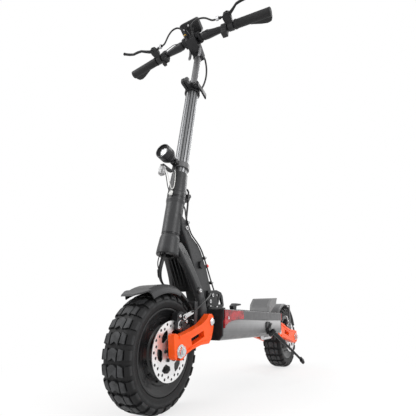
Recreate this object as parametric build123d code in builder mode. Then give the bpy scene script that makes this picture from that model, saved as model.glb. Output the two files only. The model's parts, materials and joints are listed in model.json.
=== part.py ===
"""Electric kick scooter: folding stem, sprung arms front and rear, two hub motors. Millimetres, +Z up.

The origin is on the ground under the middle of the wheelbase. The scooter travels towards -Y and the
rider's left is +X. Pieces that turn with the steering are drawn on planes of the head axis.
"""

from build123d import *
from math import cos, pi, radians, sin, tan
import os

os.makedirs("parts", exist_ok=True)

# Layout
WHEELBASE = 974.0
TYRE_R = 140.0
TYRE_W = 84.0
RAKE = 8.3
HEAD_OFFSET = -6.5
PIN_GAP = 0.05
MOVE_GAP = 0.6

# Deck
DECK_HALF_W = 97.5
DECK_FRONT = -297.0
DECK_REAR = 226.0
DECK_BOTTOM = 156.0
DECK_RIM = 240.0
DECK_WALL = 4.0
BAND_LOW = 216.0
BAND_STEP = 3.0
LID_T = 4.0
MAT_T = 2.5
PLATE_T = 6.0
REFLECTOR_T = 2.5

# Head, fork and stem, as distances along the head axis from the middle of the neck
HEAD_R = 27.0
HEAD_LOW = -2.0
HEAD_TOP = 112.0
STEERER_R = 15.0
BEARING_T = 6.0
CROWN_R = 32.5
CROWN_LOW = -67.0
HINGE_T = 14.0
SLEEVE_L = 70.0
SLEEVE_R = 28.0
STEM_R = 22.5
STEM_WALL = 3.5
STEM_TOP = 572.0
POST_R = 13.0
POST_LOW = 372.0
POST_TOP = 775.0
BAR_S = 793.0
BAR_FWD = 46.0
FOLD_BACK = 36.0

# Wheels and arms
RIM_R = 101.0
RIM_HALF_W = 36.0
AXLE_R = 7.0
DISC_R = 70.0
DISC_T = 2.0
DISC_BORE_R = 16.0
DISC_HOLE_R = 3.4
DISC_X = 51.0
ARM_IN = 62.0
ARM_T = 18.0
LEG_IN = 39.0
LEG_T = 20.0
FRONT_PIVOT = (-343.0, 208.0)
REAR_PIVOT = (250.0, 168.0)
PIVOT_R = 6.0

axle_front = -WHEELBASE / 2
axle_rear = WHEELBASE / 2
deck_top = DECK_RIM + LID_T
head_up = (0, sin(radians(RAKE)), cos(radians(RAKE)))
head_z = 450.0
head_y = axle_front + (head_z - TYRE_R) * tan(radians(RAKE)) + HEAD_OFFSET
head = Plane(origin=(0, head_y, head_z), x_dir=(1, 0, 0), z_dir=head_up)


def save(builder, name):
    """Labels a finished piece and writes it to its own file."""
    builder.part.label = name
    export_step(builder.part, f"parts/{name}.step")


def lathe(base, points, mode=Mode.ADD):
    """Turns the closed outline of (radius, height) points about the z axis of the plane base."""
    side = Plane(origin=base.origin, x_dir=base.x_dir, z_dir=-base.y_dir)
    with BuildSketch(side) as outline:
        with BuildLine():
            Polyline(*points, close=True)
        make_face()
    revolve(outline.sketch, axis=Axis(base.origin, base.z_dir), mode=mode)


def slab(base, points, depth, radius=0.0, mode=Mode.ADD):
    """Pushes a closed outline on the plane base out by depth, with its corners rounded."""
    with BuildSketch(base) as outline:
        with BuildLine():
            Polyline(*points, close=True)
        make_face()
        if radius:
            fillet(outline.vertices(), radius)
    extrude(outline.sketch, amount=depth, mode=mode)


def side_plane(x):
    """The plane across the scooter at x, drawn on in (y, z), facing +X."""
    return Plane.YZ.offset(x)


# ---------------------------------------------------------------------------------------------
# Deck: a bent aluminium tray with a lid, end plates and the battery and controller inside
# ---------------------------------------------------------------------------------------------
low_w = DECK_HALF_W - BAND_STEP
tray = [
    (low_w - 12, DECK_BOTTOM),
    (low_w, DECK_BOTTOM + 14),
    (low_w, BAND_LOW - BAND_STEP),
    (DECK_HALF_W, BAND_LOW),
    (DECK_HALF_W, DECK_RIM),
]
with BuildPart() as deck_shell:
    with BuildSketch(Plane.XZ.offset(-DECK_REAR)) as outline:
        with BuildLine():
            Polyline(*tray, *[(-x, z) for x, z in reversed(tray)], close=True)
        make_face()
    extrude(amount=DECK_REAR - DECK_FRONT)
    cavity_w = low_w - DECK_WALL
    with BuildSketch(Plane.XY.offset(DECK_BOTTOM + DECK_WALL)):
        with Locations((0, (DECK_FRONT + DECK_REAR) / 2)):
            Rectangle(2 * (cavity_w - 9), DECK_REAR - DECK_FRONT)
    extrude(amount=DECK_RIM, mode=Mode.SUBTRACT)
    with BuildSketch(Plane.XY.offset(DECK_BOTTOM + 16)):
        with Locations((0, (DECK_FRONT + DECK_REAR) / 2)):
            Rectangle(2 * cavity_w, DECK_REAR - DECK_FRONT)
    extrude(amount=DECK_RIM, mode=Mode.SUBTRACT)
    slab(
        side_plane(-DECK_HALF_W),
        [(140, DECK_BOTTOM - 1), (DECK_REAR + 1, DECK_BOTTOM - 1), (DECK_REAR + 1, DECK_BOTTOM + 11)],
        2 * DECK_HALF_W,
        mode=Mode.SUBTRACT,
    )
    slab(
        side_plane(-cavity_w + 9),
        [(138, DECK_BOTTOM + DECK_WALL), (DECK_REAR, DECK_BOTTOM + DECK_WALL),
         (DECK_REAR, DECK_BOTTOM + DECK_WALL + 11.5)],
        2 * (cavity_w - 9),
    )
save(deck_shell, "deck_shell")

# The lid screws down on the tray and carries a rubber mat
with BuildPart() as deck_lid:
    with BuildSketch(Plane.XY.offset(DECK_RIM)):
        with Locations((0, (DECK_FRONT + DECK_REAR) / 2)):
            RectangleRounded(2 * DECK_HALF_W, DECK_REAR - DECK_FRONT, 3)
    extrude(amount=LID_T)
    chamfer(deck_lid.faces().sort_by(Axis.Z)[-1].edges(), 1.5)
save(deck_lid, "deck_lid")

MAT_FRONT = -178.0
MAT_REAR = 190.0
with BuildPart() as grip_mat:
    with BuildSketch(Plane.XY.offset(deck_top)) as mat:
        with Locations((0, (MAT_FRONT + MAT_REAR) / 2)):
            RectangleRounded(2 * (DECK_HALF_W - 9), MAT_REAR - MAT_FRONT, 10)
        with Locations((0, -20)):
            RectangleRounded(34, 84, 6, mode=Mode.SUBTRACT)
    extrude(amount=MAT_T)
save(grip_mat, "grip_mat")

# End plates close the tray; the rear one carries the two cheeks of the rear arm pivot
CHEEK_X = 59.5
CHEEK_T = 16.0
tail = DECK_REAR + PLATE_T
with BuildPart() as end_plates:
    slab(Plane.XZ.offset(-DECK_FRONT), tray[:-1] + [(DECK_HALF_W, deck_top)]
         + [(-x, z) for x, z in reversed(tray[:-1] + [(DECK_HALF_W, deck_top)])], PLATE_T)
    chamfer(end_plates.faces().sort_by(Axis.Y)[0].edges(), 1.5)
    rear_edge = [(low_w - 6, DECK_BOTTOM + 14), (low_w, DECK_BOTTOM + 22), (low_w, BAND_LOW - BAND_STEP),
                 (DECK_HALF_W, BAND_LOW), (DECK_HALF_W, deck_top)]
    slab(Plane.XZ.offset(-DECK_REAR), rear_edge + [(-x, z) for x, z in reversed(rear_edge)], -PLATE_T)
    for x in (CHEEK_X - CHEEK_T, -CHEEK_X):
        slab(
            side_plane(x),
            [(tail, 232), (REAR_PIVOT[0] - 2, 224), (REAR_PIVOT[0] + 13, REAR_PIVOT[1] + 8),
             (REAR_PIVOT[0] + 13, REAR_PIVOT[1] - 8), (REAR_PIVOT[0] + 5, REAR_PIVOT[1] - 14),
             (REAR_PIVOT[0] - 6, REAR_PIVOT[1] - 13), (tail, REAR_PIVOT[1] + 4)],
            CHEEK_T,
        )
    with Locations(Plane.YZ):
        with Locations(REAR_PIVOT):
            Cylinder(PIVOT_R + PIN_GAP, 4 * CHEEK_X, mode=Mode.SUBTRACT)
save(end_plates, "end_plates")

# Battery of cells in a shrink-wrapped case, and the motor controller behind it
with BuildPart() as battery_pack:
    with BuildSketch(Plane.XY.offset(DECK_BOTTOM + DECK_WALL)):
        with Locations((0, -92)):
            Rectangle(150, 370)
    extrude(amount=66)
    fillet(battery_pack.edges().filter_by(Axis.Y), 8)
save(battery_pack, "battery_pack")

with BuildPart() as controller:
    with BuildSketch(Plane.XY.offset(DECK_BOTTOM + DECK_WALL)):
        with Locations((0, 116)):
            Rectangle(90, 34)
    extrude(amount=50)
    with GridLocations(11, 1, 7, 1):
        with Locations((0, 116, DECK_BOTTOM + DECK_WALL + 50)):
            Box(3, 34, 7, align=(Align.CENTER, Align.CENTER, Align.MIN))
save(controller, "controller")

# Red side reflectors wrap the front of the band and drop over the lower panel in a curve; the tail
# light lens is the same red
with BuildPart() as reflectors:
    for side in (1, -1):
        slab(
            side_plane(DECK_HALF_W if side > 0 else -DECK_HALF_W - REFLECTOR_T),
            [(-165, DECK_RIM + 2), (DECK_FRONT, DECK_RIM + 2), (DECK_FRONT, 190), (-289, 198), (-276, 205),
             (-255, 210), (-225, 214), (-190, BAND_LOW + 0.4), (-165, BAND_LOW + 1)],
            REFLECTOR_T,
        )
        slab(
            side_plane(low_w if side > 0 else -DECK_HALF_W),
            [(-235, BAND_LOW - BAND_STEP - 0.3), (DECK_FRONT, BAND_LOW - BAND_STEP - 0.3), (DECK_FRONT, 190),
             (-289, 198), (-276, 205), (-255, 210)],
            BAND_STEP,
        )
    with BuildSketch(Plane.XZ.offset(-tail)):
        with Locations((0, 226)):
            RectangleRounded(74, 16, 6)
    extrude(amount=-5)
    chamfer(reflectors.faces().sort_by(Axis.Y)[-1].edges(), 1.5)
save(reflectors, "reflectors")

# Raised footrest: a bent plate that climbs steeply and levels out over the front of the rear wheel
REST_FRONT = 212.0
REST_TOP = 316.0
REST_REAR = 326.0
REST_HALF_W = 47.0
REST_T = 5.0
rest_rise = REST_TOP - deck_top
bends = [(REST_FRONT + 8, deck_top), (REST_FRONT + 20, deck_top + 0.46 * rest_rise),
         (REST_FRONT + 54, deck_top + 0.86 * rest_rise), (REST_REAR, REST_TOP - REST_T)]
with BuildPart() as rear_footrest:
    with BuildSketch(side_plane(-REST_HALF_W)) as plate:
        with BuildLine():
            Polyline((REST_FRONT, deck_top), *bends, (REST_REAR + 6, REST_TOP - REST_T),
                     (REST_REAR + 6, REST_TOP),
                     (REST_REAR - 3, REST_TOP), *[(y - REST_T, z + REST_T) for y, z in bends[2:0:-1]],
                     (REST_FRONT + 8, deck_top + REST_T), (REST_FRONT, deck_top + REST_T), close=True)
        make_face()
    extrude(plate.sketch, amount=2 * REST_HALF_W)
    for x in (REST_HALF_W - REST_T, -REST_HALF_W):
        slab(side_plane(x), [(REST_FRONT + 9, deck_top), (DECK_REAR, deck_top),
                             (REST_REAR - 8, REST_TOP - 26),
                             (REST_REAR + 2, REST_TOP - 4), (REST_REAR - 4, REST_TOP - 2),
                             *[(y - 2, z + 2) for y, z in bends[2:0:-1]]], REST_T)
    face_way = Vector(0, bends[1][1] - bends[2][1], bends[2][0] - bends[1][0]).normalized()
    face_at = Vector(0, (bends[1][0] + bends[2][0] - REST_T) / 2, (bends[1][1] + bends[2][1] + REST_T) / 2)
    slope = Plane(origin=face_at, x_dir=(1, 0, 0), z_dir=face_way)
    with BuildSketch(slope.offset(-REST_T / 2)):
        RectangleRounded(80, 36, 8)
        RectangleRounded(74, 30, 6, mode=Mode.SUBTRACT)
        with GridLocations(1, 9, 1, 3):
            SlotOverall(60, 4)
    extrude(amount=REST_T / 2 + 2)
save(rear_footrest, "rear_footrest")

# Hook on the deck that the folded handlebar drops over
HOOK_Y = -55.0
with BuildPart() as deck_hook:
    with BuildSketch(Plane.XY.offset(deck_top)):
        with Locations((0, HOOK_Y + 26)):
            RectangleRounded(24, 52, 5)
    extrude(amount=3)
    slab(
        side_plane(-8),
        [(HOOK_Y + 2, deck_top + 3), (HOOK_Y + 24, deck_top + 3), (HOOK_Y + 26, deck_top + 21),
         (HOOK_Y + 66, deck_top + 26),
         (HOOK_Y + 66, deck_top + 31), (HOOK_Y + 16, deck_top + 31), (HOOK_Y - 4, deck_top + 20)],
        16,
    )
save(deck_hook, "deck_hook")

# ---------------------------------------------------------------------------------------------
# Neck: the head tube and the beam that carries it, bolted into a cast bracket on the deck
# ---------------------------------------------------------------------------------------------
BEAM_HALF_W = 30.0
SOCKET = (-332.0, 375.0)
SOCKET_R = 7.0
SOCKET_DEPTH = 12.0
BASE_T = 8.0
base_top = deck_top + BASE_T
with BuildPart() as neck_frame:
    slab(
        side_plane(-BEAM_HALF_W),
        [(-446, 512), (-408, 492), (-392, 459), (-349, 438), (-328, 420), (-289, 364), (-258, 302),
         (-246, base_top),
         (-303, base_top), (-320, 296), (-361, 356), (-392, 412), (-430, 464)],
        2 * BEAM_HALF_W,
    )
    fillet(neck_frame.faces().filter_by(Axis.X).edges(), 4)
    lathe(head, [(12, HEAD_LOW), (HEAD_R, HEAD_LOW), (HEAD_R, HEAD_TOP - 18), (HEAD_R + 2, HEAD_TOP - 8),
                 (HEAD_R + 2, HEAD_TOP), (12, HEAD_TOP)])
    lathe(head, [(0, HEAD_LOW - 60), (21, HEAD_LOW - 60), (21, HEAD_TOP + 60), (0, HEAD_TOP + 60)],
          Mode.SUBTRACT)
    with BuildSketch(side_plane(BEAM_HALF_W - SOCKET_DEPTH)):
        with Locations(SOCKET):
            Circle(SOCKET_R + PIN_GAP)
    extrude(amount=2 * SOCKET_DEPTH, mode=Mode.SUBTRACT)
save(neck_frame, "neck_frame")

with BuildPart() as head_bearings:
    for low, high, r in ((HEAD_LOW - BEARING_T, HEAD_LOW, HEAD_R - 1), (HEAD_TOP, HEAD_TOP + BEARING_T,
                                                                        HEAD_R + 1.4)):
        lathe(head, [(STEERER_R + PIN_GAP, low), (r - 1, low), (r, low + 1), (r, high), (STEERER_R + PIN_GAP,
                                                                                         high)])
save(head_bearings, "head_bearings")

with BuildPart() as neck_bracket:
    with BuildSketch(Plane.XY.offset(deck_top)):
        with Locations((0, -243)):
            RectangleRounded(96, 108, 10)
    extrude(amount=BASE_T)
    for x in (BEAM_HALF_W + 1, -BEAM_HALF_W - 8):
        slab(
            side_plane(x),
            [(-296, base_top), (-191, base_top), (-189, 262), (-197, 290), (-208, 301), (-240, 306),
             (-292, 300)],
            7,
        )
        for hole in ([(-226, 262), (-200, 262), (-214, 291)], [(-238, 296), (-221, 293), (-232, 268)]):
            slab(side_plane(x - 1), hole, 9, mode=Mode.SUBTRACT)
save(neck_bracket, "neck_bracket")

with BuildPart() as deck_bolts:
    for x in (41.5, -41.5):
        for y in (-284, -243, -202):
            with BuildSketch(Plane.XY.offset(base_top)):
                with Locations((x, y)):
                    Circle(3.4)
            extrude(amount=3.4)
    for side in (1, -1):
        for x, y, z, r in ((BEAM_HALF_W + 8, -268, 288, 5.5), (BEAM_HALF_W + 8, -282, 268, 5.5),
                           (BEAM_HALF_W, -414, 473, 6), (DECK_HALF_W + REFLECTOR_T, -279, 219, 4.5)):
            with BuildSketch(side_plane(side * x)):
                with Locations((y, z)):
                    Circle(r)
                    RegularPolygon(r / 2, 6, mode=Mode.SUBTRACT)
            extrude(amount=0.75 * r * side)
save(deck_bolts, "deck_bolts")

# Screw cap over the charging port in the side of the beam
with BuildPart() as charge_cap:
    with BuildSketch(side_plane(BEAM_HALF_W + 0.3)) as cap:
        with Locations(SOCKET):
            Circle(11.5)
            with PolarLocations(11.9, 12):
                Circle(1.2, mode=Mode.SUBTRACT)
    extrude(amount=8)
    with BuildSketch(side_plane(BEAM_HALF_W - SOCKET_DEPTH + 1)):
        with Locations(SOCKET):
            Circle(SOCKET_R)
    extrude(amount=SOCKET_DEPTH)
save(charge_cap, "charge_cap")

# ---------------------------------------------------------------------------------------------
# Fork: a forged crown with two legs that sweep back behind the wheel, and the steerer tube above it
# ---------------------------------------------------------------------------------------------
hinge_low = HEAD_TOP + BEARING_T + MOVE_GAP
hinge_top = hinge_low + HINGE_T
crown_top = HEAD_LOW - BEARING_T - MOVE_GAP
steerer_low = CROWN_LOW + 18
leg_mid = LEG_IN + LEG_T / 2
pivot_y, pivot_z = FRONT_PIVOT
leg_sections = [
    (425, 14, -441, 24, 38),
    (392, 21, -417, 26, 44),
    (345, 31, -385, 22, 38),
    (292, 42, -357, 20, 32),
    (245, leg_mid, -346, LEG_T, 30),
    (pivot_z, leg_mid, pivot_y, LEG_T, 30),
]
WEB = [(-424, 396), (-414, 396), (-386, 345), (-366, 308), (-362, 292), (-370, 292), (-377, 306), (-396, 341)]
WEB_RIB = [(-432, 388), (-416, 396), (-390, 345), (-370, 305), (-378, 305), (-402, 340)]
WEB_HALF_W = 34.0
with BuildPart() as fork:
    lathe(head, [(5, CROWN_LOW), (CROWN_R - 1.5, CROWN_LOW), (CROWN_R, CROWN_LOW + 3),
                 (CROWN_R - 0.5, CROWN_LOW + 16),
                 (HEAD_R + 2, crown_top - 8), (HEAD_R, crown_top), (5, crown_top)])
    for side in (1, -1):
        for z, x, y, wx, wy in leg_sections:
            with BuildSketch(Plane.XY.offset(z)):
                with Locations((side * x, y)):
                    RectangleRounded(wx, wy, 7)
        loft()
        with BuildSketch(side_plane(LEG_IN if side > 0 else -LEG_IN - LEG_T)):
            with Locations(FRONT_PIVOT):
                Circle(17)
        extrude(amount=LEG_T)
    slab(side_plane(-WEB_HALF_W), WEB, 2 * WEB_HALF_W, 2)
    for x in (-24, -12, 0, 12, 24):
        slab(side_plane(x - 1.5), WEB_RIB, 3)
    lathe(head, [(0, CROWN_LOW - 1), (19.5, CROWN_LOW - 1), (18, CROWN_LOW + 1.5), (18, steerer_low),
                 (0, steerer_low)],
          Mode.SUBTRACT)
    lathe(head, [(STEERER_R - 3, steerer_low - 2), (STEERER_R, steerer_low - 2), (STEERER_R, hinge_top - 3),
                 (STEERER_R - 3, hinge_top - 3)])
    lathe(head, [(0, steerer_low - 10), (STEERER_R - 3, steerer_low - 10), (STEERER_R - 3, hinge_top),
                 (0, hinge_top)],
          Mode.SUBTRACT)
    with Locations(Plane.YZ):
        with Locations(FRONT_PIVOT):
            Cylinder(PIVOT_R + PIN_GAP, 4 * leg_mid, mode=Mode.SUBTRACT)
save(fork, "fork")

# ---------------------------------------------------------------------------------------------
# Wheels: the same wheel twice. x_dir of a wheel plane is backwards, its z is towards the left
# ---------------------------------------------------------------------------------------------
def wheel_plane(y):
    return Plane(origin=(0, y, TYRE_R), x_dir=(0, 1, 0), z_dir=(1, 0, 0))


def polar(axle_y, r, angle):
    """The (y, z) of a point at radius r and angle about an axle; 0 is backwards and 90 is up."""
    return (axle_y + r * cos(radians(angle)), TYRE_R + r * sin(radians(angle)))


front_wheel = wheel_plane(axle_front)
rear_wheel = wheel_plane(axle_rear)
to_rear = Location((0, WHEELBASE, 0))
half_w = TYRE_W / 2
TREAD_DEPTH = 4.5
PITCHES = 26
groove_r = TYRE_R - TREAD_DEPTH


with BuildPart() as front_tyre:
    outer = [(groove_r, 14), (groove_r - 1, 24), (groove_r - 4, 33), (groove_r - 11, half_w - 3),
             (groove_r - 19, half_w - 1),
             (groove_r - 27, half_w - 3), (RIM_R + 2, RIM_HALF_W + 1), (RIM_R + 0.4, RIM_HALF_W - 3.2),
             (RIM_R - 8.5, RIM_HALF_W - 5)]
    inner = [(groove_r - 5, 14), (groove_r - 9, 28), (groove_r - 19, half_w - 7), (RIM_R + 4, 29),
             (RIM_R - 8.5, 24)]
    lathe(front_wheel, outer + list(reversed(inner)) + [(r, -x) for r, x in inner] + [(r, -x) for r,
                                                                                      x in reversed(outer)])
    with BuildPart(mode=Mode.PRIVATE) as ring:
        lathe(front_wheel, [(TYRE_R, -17), (TYRE_R, 17), (TYRE_R - 1.2, 27), (TYRE_R - 6, 36),
                            (TYRE_R - 13, half_w),
                            (TYRE_R - 17, half_w), (TYRE_R - 17, half_w - 4), (TYRE_R - 8, 27),
                            (TYRE_R - 6, 14),
                            (TYRE_R - 6, -14), (TYRE_R - 8, -27), (TYRE_R - 17, 4 - half_w),
                            (TYRE_R - 17, -half_w),
                            (TYRE_R - 13, -half_w), (TYRE_R - 6, -36), (TYRE_R - 1.2, -27)])
    with BuildPart(mode=Mode.PRIVATE) as prisms:
        for i in range(PITCHES):
            turn = 2 * pi * i / PITCHES
            out = Plane(origin=(0, axle_front + 110 * cos(turn), TYRE_R + 110 * sin(turn)), x_dir=(1, 0, 0),
                        z_dir=(0, cos(turn), sin(turn)))
            with BuildSketch(out) as block:
                flip = 1 if i % 2 else -1
                for outline in (
                    [(-11, -14), (0, -7), (11, -14), (13, 7), (4, 13), (-4, 13), (-13, 7)],
                    [(15.5 * flip, -13), (29 * flip, -10), (29 * flip, 9), (17 * flip, 12)],
                    [(-15.5 * flip, -10), (-29 * flip, -12), (-29 * flip, 8), (-17 * flip, 13)],
                    [(32, -12), (46, -10), (46, 8), (32, 10)],
                    [(-32, -12), (-46, -10), (-46, 8), (-32, 10)],
                ):
                    with BuildLine():
                        Polyline(*outline, close=True)
                    make_face()
            extrude(amount=50)
    knobs = ring.part & prisms.part
    add(knobs)
save(front_tyre, "front_tyre")

with BuildPart() as rear_tyre:
    add(front_tyre.part.moved(to_rear))
save(rear_tyre, "rear_tyre")

MOTOR_R = 84.0
HUB_R = 31.0
DISC_BOLTS = 6
DISC_BOLT_PCD = 46.0
disc_in = DISC_X - DISC_T / 2
disc_out = DISC_X + DISC_T / 2
with BuildPart() as front_hub_motor:
    rim = [(RIM_R - 13, 20), (RIM_R - 9, RIM_HALF_W - 4.8), (RIM_R, RIM_HALF_W - 2.8), (RIM_R, RIM_HALF_W),
           (RIM_R - 4, RIM_HALF_W), (MOTOR_R + 2, RIM_HALF_W - 4), (MOTOR_R - 4, RIM_HALF_W - 5), (76, 29),
           (62, 29),
           (58, 33), (HUB_R + 5, 35)]
    lathe(front_wheel, [(AXLE_R + PIN_GAP, disc_in), (HUB_R, disc_in), (HUB_R, 40)] + list(reversed(rim))
          + [(r, -x) for r, x in rim] + [(30, -40), (18, -41), (AXLE_R + PIN_GAP, -41)])
    for x in (29, -33):
        with BuildSketch(side_plane(x)):
            with Locations((axle_front, TYRE_R)):
                with PolarLocations(69, 12, start_angle=15):
                    Circle(2.6)
        extrude(amount=4)
    with BuildSketch(side_plane(disc_out)):
        with Locations((axle_front, TYRE_R)):
            with PolarLocations(DISC_BOLT_PCD / 2, DISC_BOLTS):
                Circle(4.2)
                RegularPolygon(2.1, 6, mode=Mode.SUBTRACT)
    extrude(amount=3)
save(front_hub_motor, "front_hub_motor")

with BuildPart() as rear_hub_motor:
    add(front_hub_motor.part.moved(to_rear))
save(rear_hub_motor, "rear_hub_motor")

# Brake disc: a braking ring with small vents, joined to the hub by six curved spokes
with BuildPart() as front_disc:
    with BuildSketch(side_plane(disc_in)) as plate:
        with Locations((axle_front, TYRE_R)):
            Circle(DISC_R)
            Circle(DISC_BORE_R, mode=Mode.SUBTRACT)
            for r, turn in ((DISC_R - 12, 0), (DISC_R - 6, 12)):
                with PolarLocations(r, 15, start_angle=turn):
                    Circle(DISC_HOLE_R, mode=Mode.SUBTRACT)
    extrude(plate.sketch, amount=DISC_T)
    for i in range(DISC_BOLTS):
        turn = 12 + 360 / DISC_BOLTS * i
        window = [polar(axle_front, r, turn + a) for r, a in ((33, -14), (42, -20), (52.5, -20), (52.5, -6),
                                                              (50, 8), (43, 20), (35, 16), (33, 2))]
        slab(side_plane(disc_in - 1), window, DISC_T + 2, 1.5, Mode.SUBTRACT)
save(front_disc, "front_disc")

with BuildPart() as rear_disc:
    add(front_disc.part.moved(to_rear))
save(rear_disc, "rear_disc")

# ---------------------------------------------------------------------------------------------
# Front arm set: two cast arms on the pivot bolt, the axle between them, the fender and the caliper
# ---------------------------------------------------------------------------------------------
ARM_OUT = ARM_IN + ARM_T
RIB = 3.0
WINDOW_L = 62.0
WINDOW_W = 17.0
NUT_R = 12.0
NUT_T = 7.0
WASHER_T = 2.0


def turned_box(centre, angle, length, width):
    """The corners of a slot length by width, turned by angle degrees about its centre."""
    c, s = cos(radians(angle)), sin(radians(angle))
    ends = [(length / 2, width / 2), (-length / 2, width / 2), (-length / 2, -width / 2),
            (length / 2, -width / 2)]
    return [(centre[0] + a * c - b * s, centre[1] + a * s + b * c) for a, b in ends]


def cast_arms(outline, top_rib, low_rib, window, angle, axle_y, pivot, slot_angle):
    """A left and a right arm, each a plate with ribs along its edges, a window and an open axle slot."""
    for side in (1, -1):
        slab(side_plane(ARM_IN if side > 0 else -ARM_OUT), outline, ARM_T, 2.5)
        for rib in (top_rib, low_rib):
            slab(side_plane(ARM_OUT if side > 0 else -ARM_OUT - RIB), rib, RIB)
    slab(side_plane(-2 * ARM_OUT), turned_box(window, angle, WINDOW_L, WINDOW_W), 4 * ARM_OUT, 2,
         Mode.SUBTRACT)
    with Locations(Plane.YZ):
        with Locations(pivot):
            Cylinder(PIVOT_R + PIN_GAP, 4 * ARM_OUT, mode=Mode.SUBTRACT)
        with Locations((axle_y, TYRE_R)):
            Cylinder(AXLE_R + PIN_GAP, 4 * ARM_OUT, mode=Mode.SUBTRACT)
    c, s = cos(radians(slot_angle)), sin(radians(slot_angle))
    slab(side_plane(-2 * ARM_OUT), turned_box((axle_y + 20 * c, TYRE_R + 20 * s), slot_angle, 40,
                                              2 * (AXLE_R + PIN_GAP)),
         4 * ARM_OUT, 0, Mode.SUBTRACT)


def axle_set(axle_y, pivot):
    """Axle with its shoulders, washers and nuts, and the pivot bolt with domed heads."""
    wheel = wheel_plane(axle_y)
    pin = Plane(origin=(0, *pivot), x_dir=(0, 1, 0), z_dir=(1, 0, 0))
    axle_end = ARM_OUT + WASHER_T + NUT_T + 3
    lathe(wheel, [(0, -axle_end), (AXLE_R, -axle_end), (AXLE_R, -ARM_IN), (AXLE_R + 3, -ARM_IN),
                  (AXLE_R + 3, -41.6),
                  (AXLE_R, -41.6), (AXLE_R, disc_in + MOVE_GAP), (AXLE_R + 3, disc_in + MOVE_GAP),
                  (AXLE_R + 3, ARM_IN),
                  (AXLE_R, ARM_IN), (AXLE_R, axle_end), (0, axle_end)])
    for side in (1, -1):
        lathe(wheel, [(AXLE_R + PIN_GAP, side * ARM_OUT), (15.5, side * ARM_OUT),
                      (15.5, side * (ARM_OUT + WASHER_T)),
                      (AXLE_R + PIN_GAP, side * (ARM_OUT + WASHER_T))])
        with BuildSketch(side_plane(side * (ARM_OUT + WASHER_T))) as nut:
            with Locations((axle_y, TYRE_R)):
                RegularPolygon(NUT_R, 6)
                Circle(AXLE_R + PIN_GAP, mode=Mode.SUBTRACT)
        extrude(nut.sketch, amount=side * NUT_T)
    lathe(pin, [(0, -ARM_OUT - 7), (6, -ARM_OUT - 7), (10.5, -ARM_OUT - 4), (10.5, -ARM_OUT),
                (PIVOT_R, -ARM_OUT),
                (PIVOT_R, ARM_OUT), (10.5, ARM_OUT), (10.5, ARM_OUT + 4), (6, ARM_OUT + 7), (0, ARM_OUT + 7)])


with BuildPart() as front_arms:
    cast_arms(
        [(-364, 222), (-354, 229), (-340, 229), (-330, 221), (-328, 205), (-333, 184), (-341, 163),
         (-354, 151),
         (-396, 149), (-440, 140), (-462, 132), (-478, 120), (-498, 119), (-509, 127), (-512, 150),
         (-516, 176),
         (-510, 181), (-496, 174), (-480, 178), (-450, 185), (-424, 193), (-398, 201), (-378, 212)],
        [(-496, 169), (-480, 172), (-450, 179), (-424, 187), (-396, 195), (-374, 206), (-356, 223),
         (-364, 222),
         (-378, 212), (-398, 201), (-424, 193), (-450, 185), (-480, 178), (-495, 174)],
        [(-356, 153), (-396, 150.5), (-440, 141.5), (-466, 132.5), (-466, 138), (-440, 147), (-396, 156),
         (-357, 159)],
        (-411, 168), 17, axle_front, FRONT_PIVOT, -110,
    )
save(front_arms, "front_arms")

with BuildPart() as front_axle_set:
    axle_set(axle_front, FRONT_PIVOT)
save(front_axle_set, "front_axle_set")

FENDER_R = 158.0
FENDER_T = 2.5
FENDER_HALF_W = 37.0


def fender_shell(axle_y, start, end):
    """A channel over the tyre, turned about the axle from the start to the end angle."""
    inner = FENDER_R - FENDER_T
    with BuildSketch(Plane(origin=(0, axle_y, TYRE_R), x_dir=(1, 0, 0),
                           z_dir=(0, -sin(radians(start)), cos(radians(start))))) as cut:
        with BuildLine():
            Polyline((-FENDER_HALF_W, 147), (-FENDER_HALF_W, 152), (-FENDER_HALF_W + 6, FENDER_R),
                     (FENDER_HALF_W - 6, FENDER_R), (FENDER_HALF_W, 152), (FENDER_HALF_W, 147),
                     (FENDER_HALF_W - FENDER_T, 147), (FENDER_HALF_W - FENDER_T, 151), (FENDER_HALF_W - 7,
                                                                                        inner),
                     (7 - FENDER_HALF_W, inner), (FENDER_T - FENDER_HALF_W, 151), (FENDER_T - FENDER_HALF_W,
                                                                                   147), close=True)
        make_face()
    revolve(cut.sketch, axis=Axis((0, axle_y, TYRE_R), (1, 0, 0)), revolution_arc=end - start)


def fender_stays(axle_y, angle, foot_z):
    """A tab each side from the fender's skirt out over the arm, and down to its inner face."""
    y, z = polar(axle_y, 151, angle)
    for side in (1, -1):
        with BuildSketch(Plane.XZ.offset(-y + 7)) as tab:
            with BuildLine():
                Polyline((side * (FENDER_HALF_W - 1.5), z - 3), (side * (FENDER_HALF_W - 1.5), z),
                         (side * ARM_IN, z),
                         (side * ARM_IN, foot_z), (side * (ARM_IN - 3), foot_z), (side * (ARM_IN - 3),
                                                                                  z - 3), close=True)
            make_face()
        extrude(tab.sketch, amount=-14)


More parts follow.
